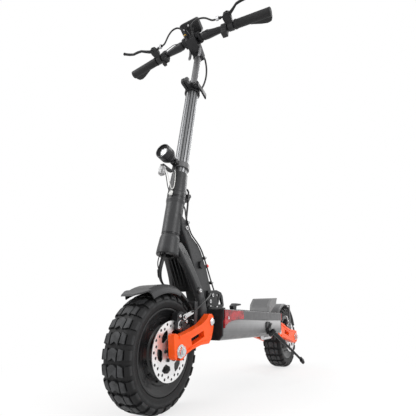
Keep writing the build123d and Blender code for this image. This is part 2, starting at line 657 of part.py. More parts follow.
BEAK_HALF_W = 40.0
TIP_HALF_W = 15.0
with BuildPart() as front_fender:
    fender_shell(axle_front, 33, 80)
    wide = [(-46, 137), (-46, 141), (-43, 151), (-30, 160), (30, 160), (43, 151), (46, 141), (46, 137),
            (43.5, 137), (43.5, 141), (41, 149.5), (29, 157.5), (-29, 157.5), (-41, 149.5), (-43.5, 141),
            (-43.5, 137)]
    front = Plane(origin=(0, axle_front, TYRE_R), x_dir=(1, 0, 0), z_dir=(0, -sin(radians(74)),
                                                                          cos(radians(74))))
    with BuildSketch(front) as cut:
        with BuildLine():
            Polyline(*wide, close=True)
        make_face()
    revolve(cut.sketch, axis=Axis((0, axle_front, TYRE_R), (1, 0, 0)), revolution_arc=46)
    beak = [polar(axle_front, r, a) for r, a in ((157.5, 118), (160, 118), (162.5, 124), (168, 130.5),
                                                 (167, 132.5), (160, 126))]
    slab(side_plane(-BEAK_HALF_W), beak, 2 * BEAK_HALF_W)
    root_y, tip_y = polar(axle_front, 160, 121)[0], polar(axle_front, 170, 134)[0]
    for side in (1, -1):
        slab(Plane.XY.offset(TYRE_R), [(side * BEAK_HALF_W, root_y), (side * TIP_HALF_W, tip_y),
                                       (side * 60, tip_y),
                                       (side * 60, root_y)], 200, 0, Mode.SUBTRACT)
    fender_stays(axle_front, 53, 196)
save(front_fender, "front_fender")


def caliper(axle_y, start, end):
    """A cast block over the edge of the disc, with its foot at the start and a stub outside for the brake arm."""
    sense = 1 if end > start else -1
    middle = (start + end) / 2
    steps = [start + (end - start) * i / 4 for i in range(5)]
    body = [polar(axle_y, 49, a) for a in steps] + [polar(axle_y, 96 if i in (1, 2, 3) else 88, a)
                                                    for i, a in reversed(list(enumerate(steps)))]
    slab(side_plane(42), body, ARM_IN - 1.5 - 42, 3)
    gap = [polar(axle_y, 40, a) for a in (start - 8 * sense, middle, end + 8 * sense)]
    gap += [polar(axle_y, DISC_R + 3, a) for a in (end + 8 * sense, middle, start - 8 * sense)]
    slab(side_plane(disc_in - 1), gap, DISC_T + 2, 0, Mode.SUBTRACT)
    stub = Plane(origin=(0, *polar(axle_y, 86, middle)), x_dir=(0, 1, 0), z_dir=(1, 0, 0))
    lathe(stub, [(0, 56), (4, 56), (4, ARM_IN + 6), (0, ARM_IN + 6)])
    foot = polar(axle_y, 66, start)
    slab(side_plane(ARM_IN - 5), turned_box((foot[0] + 6 * sense, foot[1] - 2), 20 * sense, 34, 16), 4.9)


def caliper_lever(axle_y, start, end, tip):
    """The arm that the cable pulls, on the caliper's stub."""
    hub = polar(axle_y, 86, (start + end) / 2)
    with BuildSketch(side_plane(ARM_IN)) as plate:
        with Locations(hub):
            Circle(7.5)
        with Locations(tip):
            Circle(5)
        with BuildLine():
            Polyline((hub[0], hub[1] + 7), (tip[0], tip[1] + 5), (tip[0], tip[1] - 5), (hub[0], hub[1] - 5),
                     close=True)
        make_face()
        with Locations(hub):
            Circle(4 + PIN_GAP, mode=Mode.SUBTRACT)
        with Locations(tip):
            Circle(1.6, mode=Mode.SUBTRACT)
    extrude(plate.sketch, amount=4)


with BuildPart() as front_caliper:
    caliper(axle_front, 50, 84)
save(front_caliper, "front_caliper")

front_tip = (-418.0, 232.0)
with BuildPart() as front_caliper_arm:
    caliper_lever(axle_front, 50, 84, front_tip)
save(front_caliper_arm, "front_caliper_arm")

# ---------------------------------------------------------------------------------------------
# Rear arm set, hung on the cheeks of the tail
# ---------------------------------------------------------------------------------------------
with BuildPart() as rear_arms:
    cast_arms(
        [(236, 160), (235, 180), (241, 196), (254, 205), (276, 207), (306, 200), (350, 186), (400, 176),
         (470, 170),
         (504, 166), (516, 150), (515, 126), (498, 113), (472, 112), (420, 122), (330, 138), (270, 146),
         (242, 148)],
        [(256, 197), (276, 199), (306, 192), (350, 178), (400, 169), (470, 163), (502, 160), (503, 166),
         (470, 170),
         (400, 176), (350, 186), (306, 200), (276, 206), (256, 204)],
        [(272, 147), (330, 139), (420, 123), (470, 113), (470, 120), (421, 130), (331, 146), (273, 154)],
        (352, 161), -13, axle_rear, REAR_PIVOT, -75,
    )
save(rear_arms, "rear_arms")

with BuildPart() as rear_axle_set:
    axle_set(axle_rear, REAR_PIVOT)
save(rear_axle_set, "rear_axle_set")

with BuildPart() as rear_fender:
    fender_shell(axle_rear, 20, 142)
    fender_stays(axle_rear, 94, 160)
save(rear_fender, "rear_fender")

with BuildPart() as rear_caliper:
    caliper(axle_rear, 146, 112)
save(rear_caliper, "rear_caliper")

rear_tip = (416.0, 232.0)
with BuildPart() as rear_caliper_arm:
    caliper_lever(axle_rear, 112, 146, rear_tip)
save(rear_caliper_arm, "rear_caliper_arm")

# ---------------------------------------------------------------------------------------------
# Kickstand on the left side of the tray
# ---------------------------------------------------------------------------------------------
STAND_PIVOT = (112.0, 66.0, 170.0)
STAND_LENGTH = 184.0
STAND_DOWN = Vector(0.424, 0.652, -0.625).normalized()
STAND_UP = Vector(0.0, 1.0, 0.0)
STAND_PIN_R = 4.0
stand_axis = STAND_DOWN.cross(STAND_UP).normalized()
stand = Plane(origin=STAND_PIVOT, x_dir=STAND_UP, z_dir=stand_axis)
with BuildPart() as kickstand_bracket:
    slab(side_plane(low_w), [(42, 186), (44, 204), (52, 209), (80, 209), (94, 196), (94, 172), (46, 172)], 5,
         3)
    with BuildSketch(stand.offset(-1)) as boss:
        Circle(11)
    extrude(boss.sketch, amount=-12)
    slab(side_plane(low_w), turned_box((66, 176), 0, 26, 24), 9)
    lathe(stand, [(0, -12), (STAND_PIN_R, -12), (STAND_PIN_R, 12.4), (8, 12.4), (7, 16), (0, 16)])
save(kickstand_bracket, "kickstand_bracket")

with BuildPart() as kickstand:
    lathe(stand, [(STAND_PIN_R + PIN_GAP, -0.6), (10, -0.6), (10, 12), (STAND_PIN_R + PIN_GAP, 12)])
    top = Vector(*STAND_PIVOT) + stand_axis * 5.7
    leg = Plane(origin=top, x_dir=stand_axis, z_dir=STAND_DOWN)
    lathe(leg, [(0, 8), (5.6, 8), (7.5, 16), (7.5, 62), (4.5, 78), (4.5, STAND_LENGTH - 12),
                (0, STAND_LENGTH - 12)])
    with BuildSketch(leg.offset(STAND_LENGTH - 20)) as foot:
        with Locations((0, 0)):
            SlotOverall(26, 12, rotation=90)
    extrude(foot.sketch, amount=14)
save(kickstand, "kickstand")

# ---------------------------------------------------------------------------------------------
# Stem: hinge base on the steerer, sleeve, fluted tube and clamp collar
# ---------------------------------------------------------------------------------------------


def head_point(x, y, s):
    """A point x to the left and y behind the head axis, s along it."""
    return head.from_local_coords(Vector(x, y, s))


def head_side(x):
    """The plane across the stem at x, drawn on in (y, s), facing +X."""
    return Plane(origin=head_point(x, 0, 0), x_dir=head.y_dir, z_dir=(1, 0, 0))


FOLD_LIFT = 7.5
FOLD_PIN_R = 4.0
LUG_IN = 9.0
LUG_T = 12.0
LUG_R = 7.4
fold_s = hinge_top + FOLD_LIFT
split = hinge_top + MOVE_GAP
sleeve_top = split + SLEEVE_L
with BuildPart() as hinge_base:
    lathe(head, [(STEERER_R + PIN_GAP, hinge_low), (HEAD_R + 1.4, hinge_low), (SLEEVE_R + 0.6, hinge_low + 3),
                 (SLEEVE_R + 0.6, hinge_top - 2), (SLEEVE_R, hinge_top), (STEERER_R + PIN_GAP, hinge_top)])
    for x in (LUG_IN, -LUG_IN - LUG_T):
        with BuildSketch(head_side(x)) as lug:
            with Locations((FOLD_BACK, fold_s)):
                Circle(LUG_R)
            with BuildLine():
                Polyline((16, hinge_low + 1), (FOLD_BACK + 2, hinge_low + 1), (FOLD_BACK + LUG_R, fold_s - 4),
                         (FOLD_BACK, fold_s), (FOLD_BACK - LUG_R, fold_s), (FOLD_BACK - LUG_R + 0.4,
                                                                            hinge_top), (16, hinge_top),
                         close=True)
            make_face()
        extrude(lug.sketch, amount=LUG_T)
    pin = Plane(origin=head_point(0, FOLD_BACK, fold_s), x_dir=head.y_dir, z_dir=(1, 0, 0))
    reach = LUG_IN + LUG_T
    lathe(pin, [(0, -reach - 4), (6, -reach - 4), (6, -reach), (FOLD_PIN_R, -reach), (FOLD_PIN_R, reach),
                (6, reach),
                (6, reach + 4), (0, reach + 4)])
save(hinge_base, "hinge_base")

with BuildPart() as stem_sleeve:
    lathe(head, [(10, split), (SLEEVE_R, split), (SLEEVE_R - 0.4, split + 20),
                 (SLEEVE_R - 2.6, sleeve_top - 2),
                 (SLEEVE_R - 3.6, sleeve_top), (STEM_R + PIN_GAP, sleeve_top), (STEM_R + PIN_GAP, split + 8),
                 (10, split + 8)])
    with BuildSketch(head_side(-LUG_IN + 0.5)) as lug:
        with Locations((FOLD_BACK, fold_s)):
            Circle(LUG_R)
        with BuildLine():
            Polyline((24, split + 0.4), (FOLD_BACK - 5, split + 0.4), (FOLD_BACK + 3, fold_s - 6.5),
                     (FOLD_BACK + LUG_R - 0.5, fold_s + 2),
                     (26, split + 46), (24, split + 46), close=True)
        make_face()
    extrude(lug.sketch, amount=2 * LUG_IN - 1)
    with BuildSketch(head_side(-LUG_IN - 1)) as bore:
        with Locations((FOLD_BACK, fold_s)):
            Circle(FOLD_PIN_R + PIN_GAP)
    extrude(bore.sketch, amount=2 * LUG_IN + 2, mode=Mode.SUBTRACT)
save(stem_sleeve, "stem_sleeve")

FLUTES = 14
FLUTE_R = 1.7
stem_low = split + 8
with BuildPart() as stem_tube:
    with BuildSketch(head.offset(stem_low)):
        Circle(STEM_R)
        Circle(STEM_R - STEM_WALL, mode=Mode.SUBTRACT)
        with PolarLocations(STEM_R + 0.5, FLUTES, start_angle=180 / FLUTES):
            Circle(FLUTE_R, mode=Mode.SUBTRACT)
    extrude(amount=STEM_TOP - stem_low)
save(stem_tube, "stem_tube")

COLLAR_LOW = STEM_TOP - 20
COLLAR_TOP = STEM_TOP + 18
COLLAR_R = 28.0
COLLAR_REACH = 58.0
LEVER_X = 33.0
LEVER_Y = -22.0
with BuildPart() as collar_clamp:
    lathe(head, [(STEM_R + PIN_GAP, COLLAR_LOW), (COLLAR_R - 1, COLLAR_LOW), (COLLAR_R, COLLAR_LOW + 1.5),
                 (COLLAR_R, COLLAR_TOP - 6), (COLLAR_R - 6, COLLAR_TOP), (POST_R + PIN_GAP, COLLAR_TOP),
                 (POST_R + PIN_GAP, STEM_TOP + PIN_GAP), (STEM_R + PIN_GAP, STEM_TOP + PIN_GAP)])
    for x in (2, -12):
        slab(head_side(x), [(-24, COLLAR_LOW + 4), (-COLLAR_REACH + 4, COLLAR_LOW + 6),
                            (-COLLAR_REACH, COLLAR_LOW + 12),
                            (-COLLAR_REACH, COLLAR_TOP - 12), (-COLLAR_REACH + 6, COLLAR_TOP - 8),
                            (-24, COLLAR_TOP - 6)], 10, 2)
    slab(head_side(12), [(-28, COLLAR_LOW + 8), (-14, COLLAR_LOW + 8), (-14, COLLAR_TOP - 10),
                         (-28, COLLAR_TOP - 10)], 13.5)
    lever_base = Plane(origin=head_point(LEVER_X, LEVER_Y, COLLAR_LOW + 4), x_dir=(1, 0, 0), z_dir=head.z_dir)
    slab(head_side(24), [(LEVER_Y - 5, COLLAR_LOW + 3), (LEVER_Y + 5, COLLAR_LOW + 3),
                         (LEVER_Y + 5, COLLAR_LOW + 8),
                         (LEVER_Y - 5, COLLAR_LOW + 8)], 12)
    lathe(lever_base, [(0, 0), (3, 0), (3, 26), (0, 26)])
    lathe(head, [(0, COLLAR_LOW - 1), (STEM_R + PIN_GAP, COLLAR_LOW - 1), (STEM_R + PIN_GAP,
                                                                           STEM_TOP + PIN_GAP),
                 (0, STEM_TOP + PIN_GAP)], Mode.SUBTRACT)
save(collar_clamp, "collar_clamp")

with BuildPart() as collar_lever:
    with BuildSketch(Plane(origin=head_point(0, 0, COLLAR_LOW + 8.6), x_dir=(1, 0, 0),
                           z_dir=head.z_dir)) as blade:
        with Locations((LEVER_X, LEVER_Y)):
            Circle(6.5)
        with BuildLine():
            Polyline((LEVER_X - 3, LEVER_Y), (LEVER_X + 5, LEVER_Y), (LEVER_X + 5, 10), (LEVER_X + 3, 38),
                     (LEVER_X - 2, 46),
                     (LEVER_X - 6, 44), (LEVER_X - 2, 10), close=True)
        make_face()
        with Locations((LEVER_X, LEVER_Y)):
            Circle(3 + PIN_GAP, mode=Mode.SUBTRACT)
    extrude(blade.sketch, amount=15)
save(collar_lever, "collar_lever")

# Headlight on a ring clamp, with the horn hung below it
LAMP_S = 231.0
LAMP_PIVOT = -40.0
LAMP_R = 24.0
with BuildPart() as headlight_bracket:
    lathe(head, [(STEM_R + PIN_GAP, LAMP_S - 9), (27, LAMP_S - 9), (27.5, LAMP_S - 8), (27.5, LAMP_S + 8),
                 (27, LAMP_S + 9),
                 (STEM_R + PIN_GAP, LAMP_S + 9)])
    for x in (7, -11):
        slab(head_side(x), [(-24.5, LAMP_S - 7), (LAMP_PIVOT - 4, LAMP_S - 6), (LAMP_PIVOT - 6, LAMP_S),
                            (LAMP_PIVOT - 4, LAMP_S + 6), (-24.5, LAMP_S + 7)], 4)
    lamp_pin = Plane(origin=head_point(0, LAMP_PIVOT, LAMP_S), x_dir=head.y_dir, z_dir=(1, 0, 0))
    lathe(lamp_pin, [(0, -13), (4, -13), (4, -11), (2.5, -11), (2.5, 11), (4, 11), (4, 13), (0, 13)])
    slab(head_side(-6), [(-25.5, LAMP_S + 6), (-28.5, LAMP_S + 6), (-31, LAMP_S - 9), (-40, LAMP_S - 38),
                         (-88, LAMP_S - 41.5),
                         (-88, LAMP_S - 45), (-50, LAMP_S - 45), (-38, LAMP_S - 41), (-27, LAMP_S - 9)], 12)
save(headlight_bracket, "headlight_bracket")

with BuildPart() as headlight:
    lamp = Plane(origin=head_point(0, LAMP_PIVOT, LAMP_S), x_dir=(1, 0, 0), z_dir=-head.y_dir)
    lathe(lamp, [(0, 7.5), (9, 7.5), (14, 11), (20, 20), (LAMP_R - 1, 26), (LAMP_R, 30), (LAMP_R, 56),
                 (LAMP_R - 1, 58),
                 (LAMP_R - 3, 58), (LAMP_R - 3.5, 46), (8, 36), (0, 36)])
    for low in (30, 34, 38):
        lathe(lamp, [(LAMP_R - 1.2, low), (LAMP_R + 1, low), (LAMP_R + 1, low + 2), (LAMP_R - 1.2, low + 2)],
              Mode.SUBTRACT)
    slab(head_side(-6.6), [(LAMP_PIVOT + 5.5, LAMP_S - 4), (LAMP_PIVOT + 5.5, LAMP_S + 4),
                           (LAMP_PIVOT + 3, LAMP_S + 5.5),
                           (LAMP_PIVOT - 9, LAMP_S + 5.5), (LAMP_PIVOT - 9, LAMP_S - 5.5),
                           (LAMP_PIVOT + 3, LAMP_S - 5.5)], 13.2)
    lathe(lamp_pin, [(0, -8), (2.5 + PIN_GAP, -8), (2.5 + PIN_GAP, 8), (0, 8)], Mode.SUBTRACT)
save(headlight, "headlight")

with BuildPart() as horn:
    slab(head_side(-12), [(-93, LAMP_S - 80), (-73, LAMP_S - 80), (-73, LAMP_S - 45), (-93, LAMP_S - 45)],
         24, 4)
    with BuildSketch(Plane(origin=head_point(0, -93, LAMP_S - 60), x_dir=(1, 0, 0),
                           z_dir=-head.y_dir)) as mouth:
        Circle(9)
        Circle(6, mode=Mode.SUBTRACT)
    extrude(mouth.sketch, amount=2)
save(horn, "horn")

# ---------------------------------------------------------------------------------------------
# Telescopic post, handlebar head, display and the two bar latches
# ---------------------------------------------------------------------------------------------
HEAD_BLOCK_W = 22.0
BAR_HINGE_X = 31.0
EAR_T = 8.0
KNUCKLE_HALF = 9.7
KNUCKLE_R = 8.8
HINGE_PIN_R = 3.5
ARM_W = 19.0
ARM_LOW = BAR_S - 45
with BuildPart() as post:
    lathe(head, [(POST_R - 2.5, POST_LOW), (STEM_R - STEM_WALL - PIN_GAP, POST_LOW),
                 (STEM_R - STEM_WALL - PIN_GAP, POST_LOW + 22), (POST_R, POST_LOW + 22), (POST_R, POST_TOP),
                 (POST_R - 2.5, POST_TOP)])
save(post, "post")

display_plane = Plane(origin=(0, -392, 1292), x_dir=(1, 0, 0), z_dir=(0, 0.5, 0.866))
DISPLAY_T = 22.0
with BuildPart() as bar_head:
    ear_out = KNUCKLE_HALF + 0.3 + EAR_T
    slab(head_side(-HEAD_BLOCK_W), [(-BAR_FWD - ear_out, POST_TOP + 3), (-BAR_FWD - ear_out + 5, POST_TOP),
                                    (18, ARM_LOW + 2),
                                    (18, ARM_LOW + 26), (-BAR_FWD + ear_out, BAR_S + 14),
                                    (-BAR_FWD + ear_out - 4, BAR_S + 18),
                                    (-BAR_FWD - ear_out + 4, BAR_S + 18), (-BAR_FWD - ear_out, BAR_S + 14)],
                                    2 * HEAD_BLOCK_W)
    slab(head_side(ARM_W), [(-BAR_FWD + ear_out, ARM_LOW - 10), (30, ARM_LOW - 10), (30, BAR_S + 30),
                            (-BAR_FWD + ear_out, BAR_S + 30)],
         10, 0, Mode.SUBTRACT)
    slab(head_side(-ARM_W - 10), [(-BAR_FWD + ear_out, ARM_LOW - 10), (30, ARM_LOW - 10), (30, BAR_S + 30),
                                  (-BAR_FWD + ear_out, BAR_S + 30)], 10, 0, Mode.SUBTRACT)
    lathe(head, [(POST_R + PIN_GAP, ARM_LOW), (18.5, ARM_LOW), (18.5, POST_TOP), (POST_R + PIN_GAP,
                                                                                  POST_TOP)])
    lathe(head, [(0, ARM_LOW - 40), (POST_R + PIN_GAP, ARM_LOW - 40), (POST_R + PIN_GAP, POST_TOP),
                 (0, POST_TOP)], Mode.SUBTRACT)
    for side in (1, -1):
        for y in (-BAR_FWD - ear_out, -BAR_FWD + ear_out - EAR_T):
            ear = Plane(origin=head_point(side * BAR_HINGE_X, y, BAR_S), x_dir=(1, 0, 0), z_dir=head.y_dir)
            with BuildSketch(ear) as shape:
                Circle(10)
                with Locations((-side * (BAR_HINGE_X - HEAD_BLOCK_W) / 2 - side, 0)):
                    Rectangle(BAR_HINGE_X - HEAD_BLOCK_W + 2, 20)
            extrude(shape.sketch, amount=EAR_T)
        hinge = Plane(origin=head_point(side * BAR_HINGE_X, -BAR_FWD, BAR_S), x_dir=(1, 0, 0),
                      z_dir=head.y_dir)
        lathe(hinge, [(0, -ear_out - 2.5), (6, -ear_out - 2.5), (6, -ear_out), (HINGE_PIN_R, -ear_out),
                      (HINGE_PIN_R, ear_out),
                      (6, ear_out), (6, ear_out + 2.5), (0, ear_out + 2.5)])
        stub = Plane(origin=head_point(0, -22, BAR_S - 21), x_dir=head.y_dir, z_dir=(1, 0, 0))
        lathe(stub, [(0, side * (ARM_W - 1)), (2.5, side * (ARM_W - 1)), (2.5, side * (ARM_W + 6.4)),
                     (0, side * (ARM_W + 6.4))])
    with BuildSketch(display_plane.offset(-DISPLAY_T / 2)) as pedestal:
        with Locations((0, 22)):
            Rectangle(30, 16)
    extrude(pedestal.sketch, amount=-24)
save(bar_head, "bar_head")

with BuildPart() as display:
    with BuildSketch(display_plane.offset(-DISPLAY_T / 2)) as case:
        RectangleRounded(82, 52, 10)
    extrude(case.sketch, amount=DISPLAY_T)
    fillet(display.faces().sort_by(SortBy.DISTANCE)[-1].edges(), 2)
save(display, "display")

for side, name in ((1, "latch_left"), (-1, "latch_right")):
    with BuildPart() as latch:
        with BuildSketch(head_side(ARM_W + 0.5 if side > 0 else -ARM_W - 5.5)) as blade:
            with Locations((-22, BAR_S - 21)):
                Circle(6)
            with BuildLine():
                Polyline((-28, BAR_S - 21), (-16, BAR_S - 21), (-15, BAR_S - 50), (-19, BAR_S - 68),
                         (-25, BAR_S - 72),
                         (-27, BAR_S - 66), (-25, BAR_S - 50), close=True)
            make_face()
            with Locations((-22, BAR_S - 21)):
                Circle(2.5 + PIN_GAP, mode=Mode.SUBTRACT)
        extrude(blade.sketch, amount=5)
    save(latch, name)

# ---------------------------------------------------------------------------------------------
# Half bars. In the plane of the left bar x is backwards, y is up and z runs out along the bar
# ---------------------------------------------------------------------------------------------
BAR_SWEEP = 2.8
BAR_DROP = 3.7
BAR_LENGTH = 279.0
BAR_R = 11.0
BAR_ROOT_R = 15.8
GRIP_START = 149.0
GRIP_R = 15.5
PERCH_AT = 124.0
PERCH_W = 19.0
SWITCH_AT = 97.0
THROTTLE_AT = 96.0
LEVER_PIN_R = 3.0
bar_way = Vector(1, tan(radians(BAR_SWEEP)), -tan(radians(BAR_DROP))).normalized()
bar_back = Vector(0, 0, 1).cross(bar_way).normalized()
bar = Plane(origin=head_point(BAR_HINGE_X, -BAR_FWD, BAR_S), x_dir=bar_back, z_dir=bar_way)
LEVER_TILT = 12.0
tilted = Plane(origin=bar.origin, z_dir=bar_way,
               x_dir=bar_back * cos(radians(LEVER_TILT)) - bar.y_dir * sin(radians(LEVER_TILT)))


def bar_plan(down, about=bar):
    """The plane of the bar seen from above, a distance below its axis, drawn on in (back, out)."""
    return Plane(origin=about.origin, x_dir=about.x_dir, z_dir=-about.y_dir).offset(down)


with BuildPart() as half_bar_left:
    lathe(bar, [(0, 11), (9, 11), (9, 13.5), (14, 13.5), (BAR_ROOT_R, 20), (BAR_ROOT_R, 38), (BAR_R, 90),
                (BAR_R, BAR_LENGTH),
                (BAR_R - 2.5, BAR_LENGTH), (BAR_R - 2.5, 88), (BAR_ROOT_R - 3.5, 38), (BAR_ROOT_R - 3.5, 30),
                (0, 30)])
    knuckle = Plane(origin=head_point(BAR_HINGE_X, -BAR_FWD - KNUCKLE_HALF, BAR_S), x_dir=(1, 0, 0),
                    z_dir=head.y_dir)
    with BuildSketch(knuckle) as shape:
        Circle(KNUCKLE_R)
        with Locations((8, 0)):
            Rectangle(16, 15)
        Circle(HINGE_PIN_R + PIN_GAP, mode=Mode.SUBTRACT)
    extrude(shape.sketch, amount=2 * KNUCKLE_HALF)
save(half_bar_left, "half_bar_left")

with BuildPart() as half_bar_right:
    mirror(half_bar_left.part, about=Plane.YZ)
save(half_bar_right, "half_bar_right")

with BuildPart() as grip_left:
    lathe(bar, [(BAR_R + PIN_GAP, GRIP_START), (GRIP_R + 1.5, GRIP_START), (GRIP_R + 1.5, GRIP_START + 6),
                (GRIP_R, GRIP_START + 8),
                (GRIP_R, BAR_LENGTH + 2), (GRIP_R - 3, BAR_LENGTH + 4), (0, BAR_LENGTH + 4),
                (0, BAR_LENGTH + PIN_GAP),
                (BAR_R + PIN_GAP, BAR_LENGTH + PIN_GAP)])
    slab(bar_plan(-2), [(GRIP_R - 3, 190), (GRIP_R + 3, 212), (GRIP_R + 13, 240), (GRIP_R + 18, 262),
                        (GRIP_R + 15, 276),
                        (GRIP_R + 4, BAR_LENGTH + 3), (GRIP_R - 3, BAR_LENGTH + 3)], 9, 2)
save(grip_left, "grip_left")

with BuildPart() as grip_right:
    mirror(grip_left.part, about=Plane.YZ)
save(grip_right, "grip_right")


def brake_perch():
    """Clamp ring with the lever's forked bracket, its pin and the cable adjuster."""
    out = PERCH_AT + PERCH_W
    lathe(bar, [(BAR_R + PIN_GAP, PERCH_AT), (17, PERCH_AT), (17, out), (BAR_R + PIN_GAP, out)])
    slab(bar_plan(-7, tilted), [(-12, PERCH_AT), (-12, out), (-32, out + 4), (-48, out + 2), (-53, out - 8),
                                (-50, PERCH_AT - 2),
                        (-36, PERCH_AT - 9), (-22, PERCH_AT - 7)], 14, 2)
    slab(bar_plan(-3.4, tilted), [(-35, PERCH_AT - 1), (-70, PERCH_AT - 1), (-70, out + 20),
                                  (-33, out + 20)], 6.8, 0, Mode.SUBTRACT)
    pivot = Plane(origin=tilted.from_local_coords(Vector(-44, 0, out - 7)), x_dir=tilted.x_dir,
                  z_dir=tilted.y_dir)
    lathe(pivot, [(0, -9), (5, -9), (5, -7), (LEVER_PIN_R, -7), (LEVER_PIN_R, 7), (5, 7), (5, 9), (0, 9)])
    barrel = Plane(origin=tilted.from_local_coords(Vector(-40, 0, 0)), x_dir=tilted.x_dir, z_dir=tilted.z_dir)
    lathe(barrel, [(0, PERCH_AT - 31), (3.2, PERCH_AT - 31), (3.2, PERCH_AT - 25), (5, PERCH_AT - 25),
                   (5, PERCH_AT - 15), (3.5, PERCH_AT - 15),
                   (3.5, PERCH_AT - 7), (0, PERCH_AT - 7)])
    lathe(bar, [(0, PERCH_AT - 20), (BAR_R + PIN_GAP, PERCH_AT - 20), (BAR_R + PIN_GAP, out + 5),
                (0, out + 5)], Mode.SUBTRACT)


with BuildPart() as controls_left:
    brake_perch()
    lathe(bar, [(BAR_R + PIN_GAP, SWITCH_AT), (16.5, SWITCH_AT), (16.5, SWITCH_AT + 21),
                (BAR_R + PIN_GAP, SWITCH_AT + 21)])
    slab(bar_plan(10), [(-13, SWITCH_AT), (13, SWITCH_AT), (13, SWITCH_AT + 21), (-13, SWITCH_AT + 21)], 20,
         2)
    lathe(bar, [(0, SWITCH_AT - 4), (BAR_R + PIN_GAP, SWITCH_AT - 4), (BAR_R + PIN_GAP, PERCH_AT),
                (0, PERCH_AT)], Mode.SUBTRACT)
    button_at = Plane(origin=bar.from_local_coords(Vector(0, -22, SWITCH_AT + 10.5)), x_dir=bar.z_dir,
                      z_dir=bar.x_dir)
    lathe(button_at, [(0, 7), (4.1, 7), (4.1, 16), (0, 16)], Mode.SUBTRACT)
save(controls_left, "controls_left")

with BuildPart() as switch_button:
    lathe(button_at, [(0, 9), (4, 9), (4, 15), (3, 16), (0, 16)])
save(switch_button, "switch_button")

with BuildPart() as controls_right:
    brake_perch()
    lathe(bar, [(BAR_R + PIN_GAP, THROTTLE_AT), (19, THROTTLE_AT), (19, THROTTLE_AT + 10),
                (BAR_R + PIN_GAP, THROTTLE_AT + 10)])
    slab(bar_plan(8), [(-12, THROTTLE_AT - 5), (12, THROTTLE_AT - 5), (12, THROTTLE_AT + 10),
                       (-12, THROTTLE_AT + 10)], 18, 2)
    lathe(bar, [(0, THROTTLE_AT - 8), (BAR_R + PIN_GAP, THROTTLE_AT - 8), (BAR_R + PIN_GAP, PERCH_AT),
                (0, PERCH_AT)], Mode.SUBTRACT)
    mirror(about=Plane.YZ, mode=Mode.REPLACE)
save(controls_right, "controls_right")

with BuildPart() as throttle_lever:
    low = THROTTLE_AT + 10.6
    lathe(bar, [(BAR_R + PIN_GAP, low), (17, low), (17, low + 10), (BAR_R + PIN_GAP, low + 10)])
    slab(bar_plan(14), [(0, low), (12, low), (12, low + 10), (0, low + 10)], 16)
    slab(bar_plan(28), [(-1, low + 0.5), (15, low + 0.5), (15, low + 14), (-1, low + 14)], 6, 2)
    mirror(about=Plane.YZ, mode=Mode.REPLACE)
save(throttle_lever, "throttle_lever")

with BuildPart() as lever_left:
    out = PERCH_AT + PERCH_W
    with BuildSketch(bar_plan(-3, tilted)) as blade:
        with Locations((-44, out - 7)):
            Circle(6)
        with BuildLine():
            Polyline((-38, out - 9), (-40, out + 8), (-50, out + 22), (-61, out + 36), (-64, out + 52),
                     (-66, out + 72),
                     (-74, out + 90), (-86, out + 106), (-92, out + 101), (-81, out + 86), (-73.5, out + 72),
                     (-72, out + 52),
                     (-68, out + 34), (-57, out + 17), (-50, out + 4), (-50, out - 9), close=True)
        make_face()
        with Locations((-89.5, out + 104)):
            Circle(5)
        with Locations((-44, out - 7)):
            Circle(LEVER_PIN_R + PIN_GAP, mode=Mode.SUBTRACT)
    extrude(blade.sketch, amount=6)
save(lever_left, "lever_left")

with BuildPart() as lever_right:
    mirror(lever_left.part, about=Plane.YZ)
save(lever_right, "lever_right")

# ---------------------------------------------------------------------------------------------
# Cables
# ---------------------------------------------------------------------------------------------


def cable(points, radius):
    """A round cable through the points: straight runs with an arc at each turn as large as the runs allow."""
    points = [Vector(p) for p in points]
    runs = [b - a for a, b in zip(points, points[1:])]
    radii = []
    for a, b in zip(runs, runs[1:]):
        turn = radians(a.get_angle(b))
        radii.append(0.45 * min(a.length, b.length) / tan(turn / 2))
    print("arc radii in diameters", [round(r / radius / 2, 1) for r in radii])
    with BuildLine() as route:
        FilletPolyline(*points, radius=radii)
    with BuildSketch(Plane(origin=points[0], z_dir=runs[0])) as section:
        Circle(radius)
    return sweep(section.sketch, path=route.line)


BRAKE_CABLE_R = 3.1
LOOM_R = 3.0


def from_head(points):
    return [head_point(*p) for p in points]


with BuildPart() as brake_cables:
    start = tilted.from_local_coords(Vector(-40, 0, PERCH_AT - 31.6))
    way = tilted.from_local_coords(Vector(-41, 0, PERCH_AT - 49))
    cable([start, way, *from_head([(82, -94, 809), (60, -99, 813), (36, -99, 812), (17, -90, 807),
                                   (12, -BAR_FWD - ear_out - 1.3, 799)])], BRAKE_CABLE_R)
    start, way = (Vector(-p.X, p.Y, p.Z) for p in (start, way))
    cable([start, way, *from_head([(-82, -96, 812), (-60, -103, 818), (-36, -103, 817), (-18, -91, 808),
                                   (-12, -BAR_FWD - ear_out - 1.3, 797)])], BRAKE_CABLE_R)
save(brake_cables, "brake_cables")

with BuildPart() as cable_loop:
    cable(from_head([(12, 19.9, 773), (12.5, 31, 769), (15, 40, 746), (18, 43.5, 716), (19.5, 44, 685),
                     (18.5, 42, 655),
                     (16, 38, 628), (13.5, 32.5, 607), (11, 23, 590)]), 3.5)
save(cable_loop, "cable_loop")

with BuildPart() as neck_loom:
    cable([head_point(18.3, 23.5, 160), head_point(22.5, 29.2, 153), (24.5, -403, 585), (25.5, -403.5, 558),
           (22, -402, 529), (16.5, -397, 501), (13, -381, 473), (12, -350, 449), (12, -318, 431),
           (12, -292, 401),
           (12, -270, 366), (12, -253, 331), (12, -240, 294), (12, -234, base_top + 0.8)], LOOM_R)
    cable([(ARM_IN + 6.5, *front_tip), (70, -394, 246), (69, -368, 260), (66, -342, 272), (59, -320, 281),
           (50, -300, 288),
           (BEAM_HALF_W + 10.4, -281, 292)], 2.5)
save(neck_loom, "neck_loom")

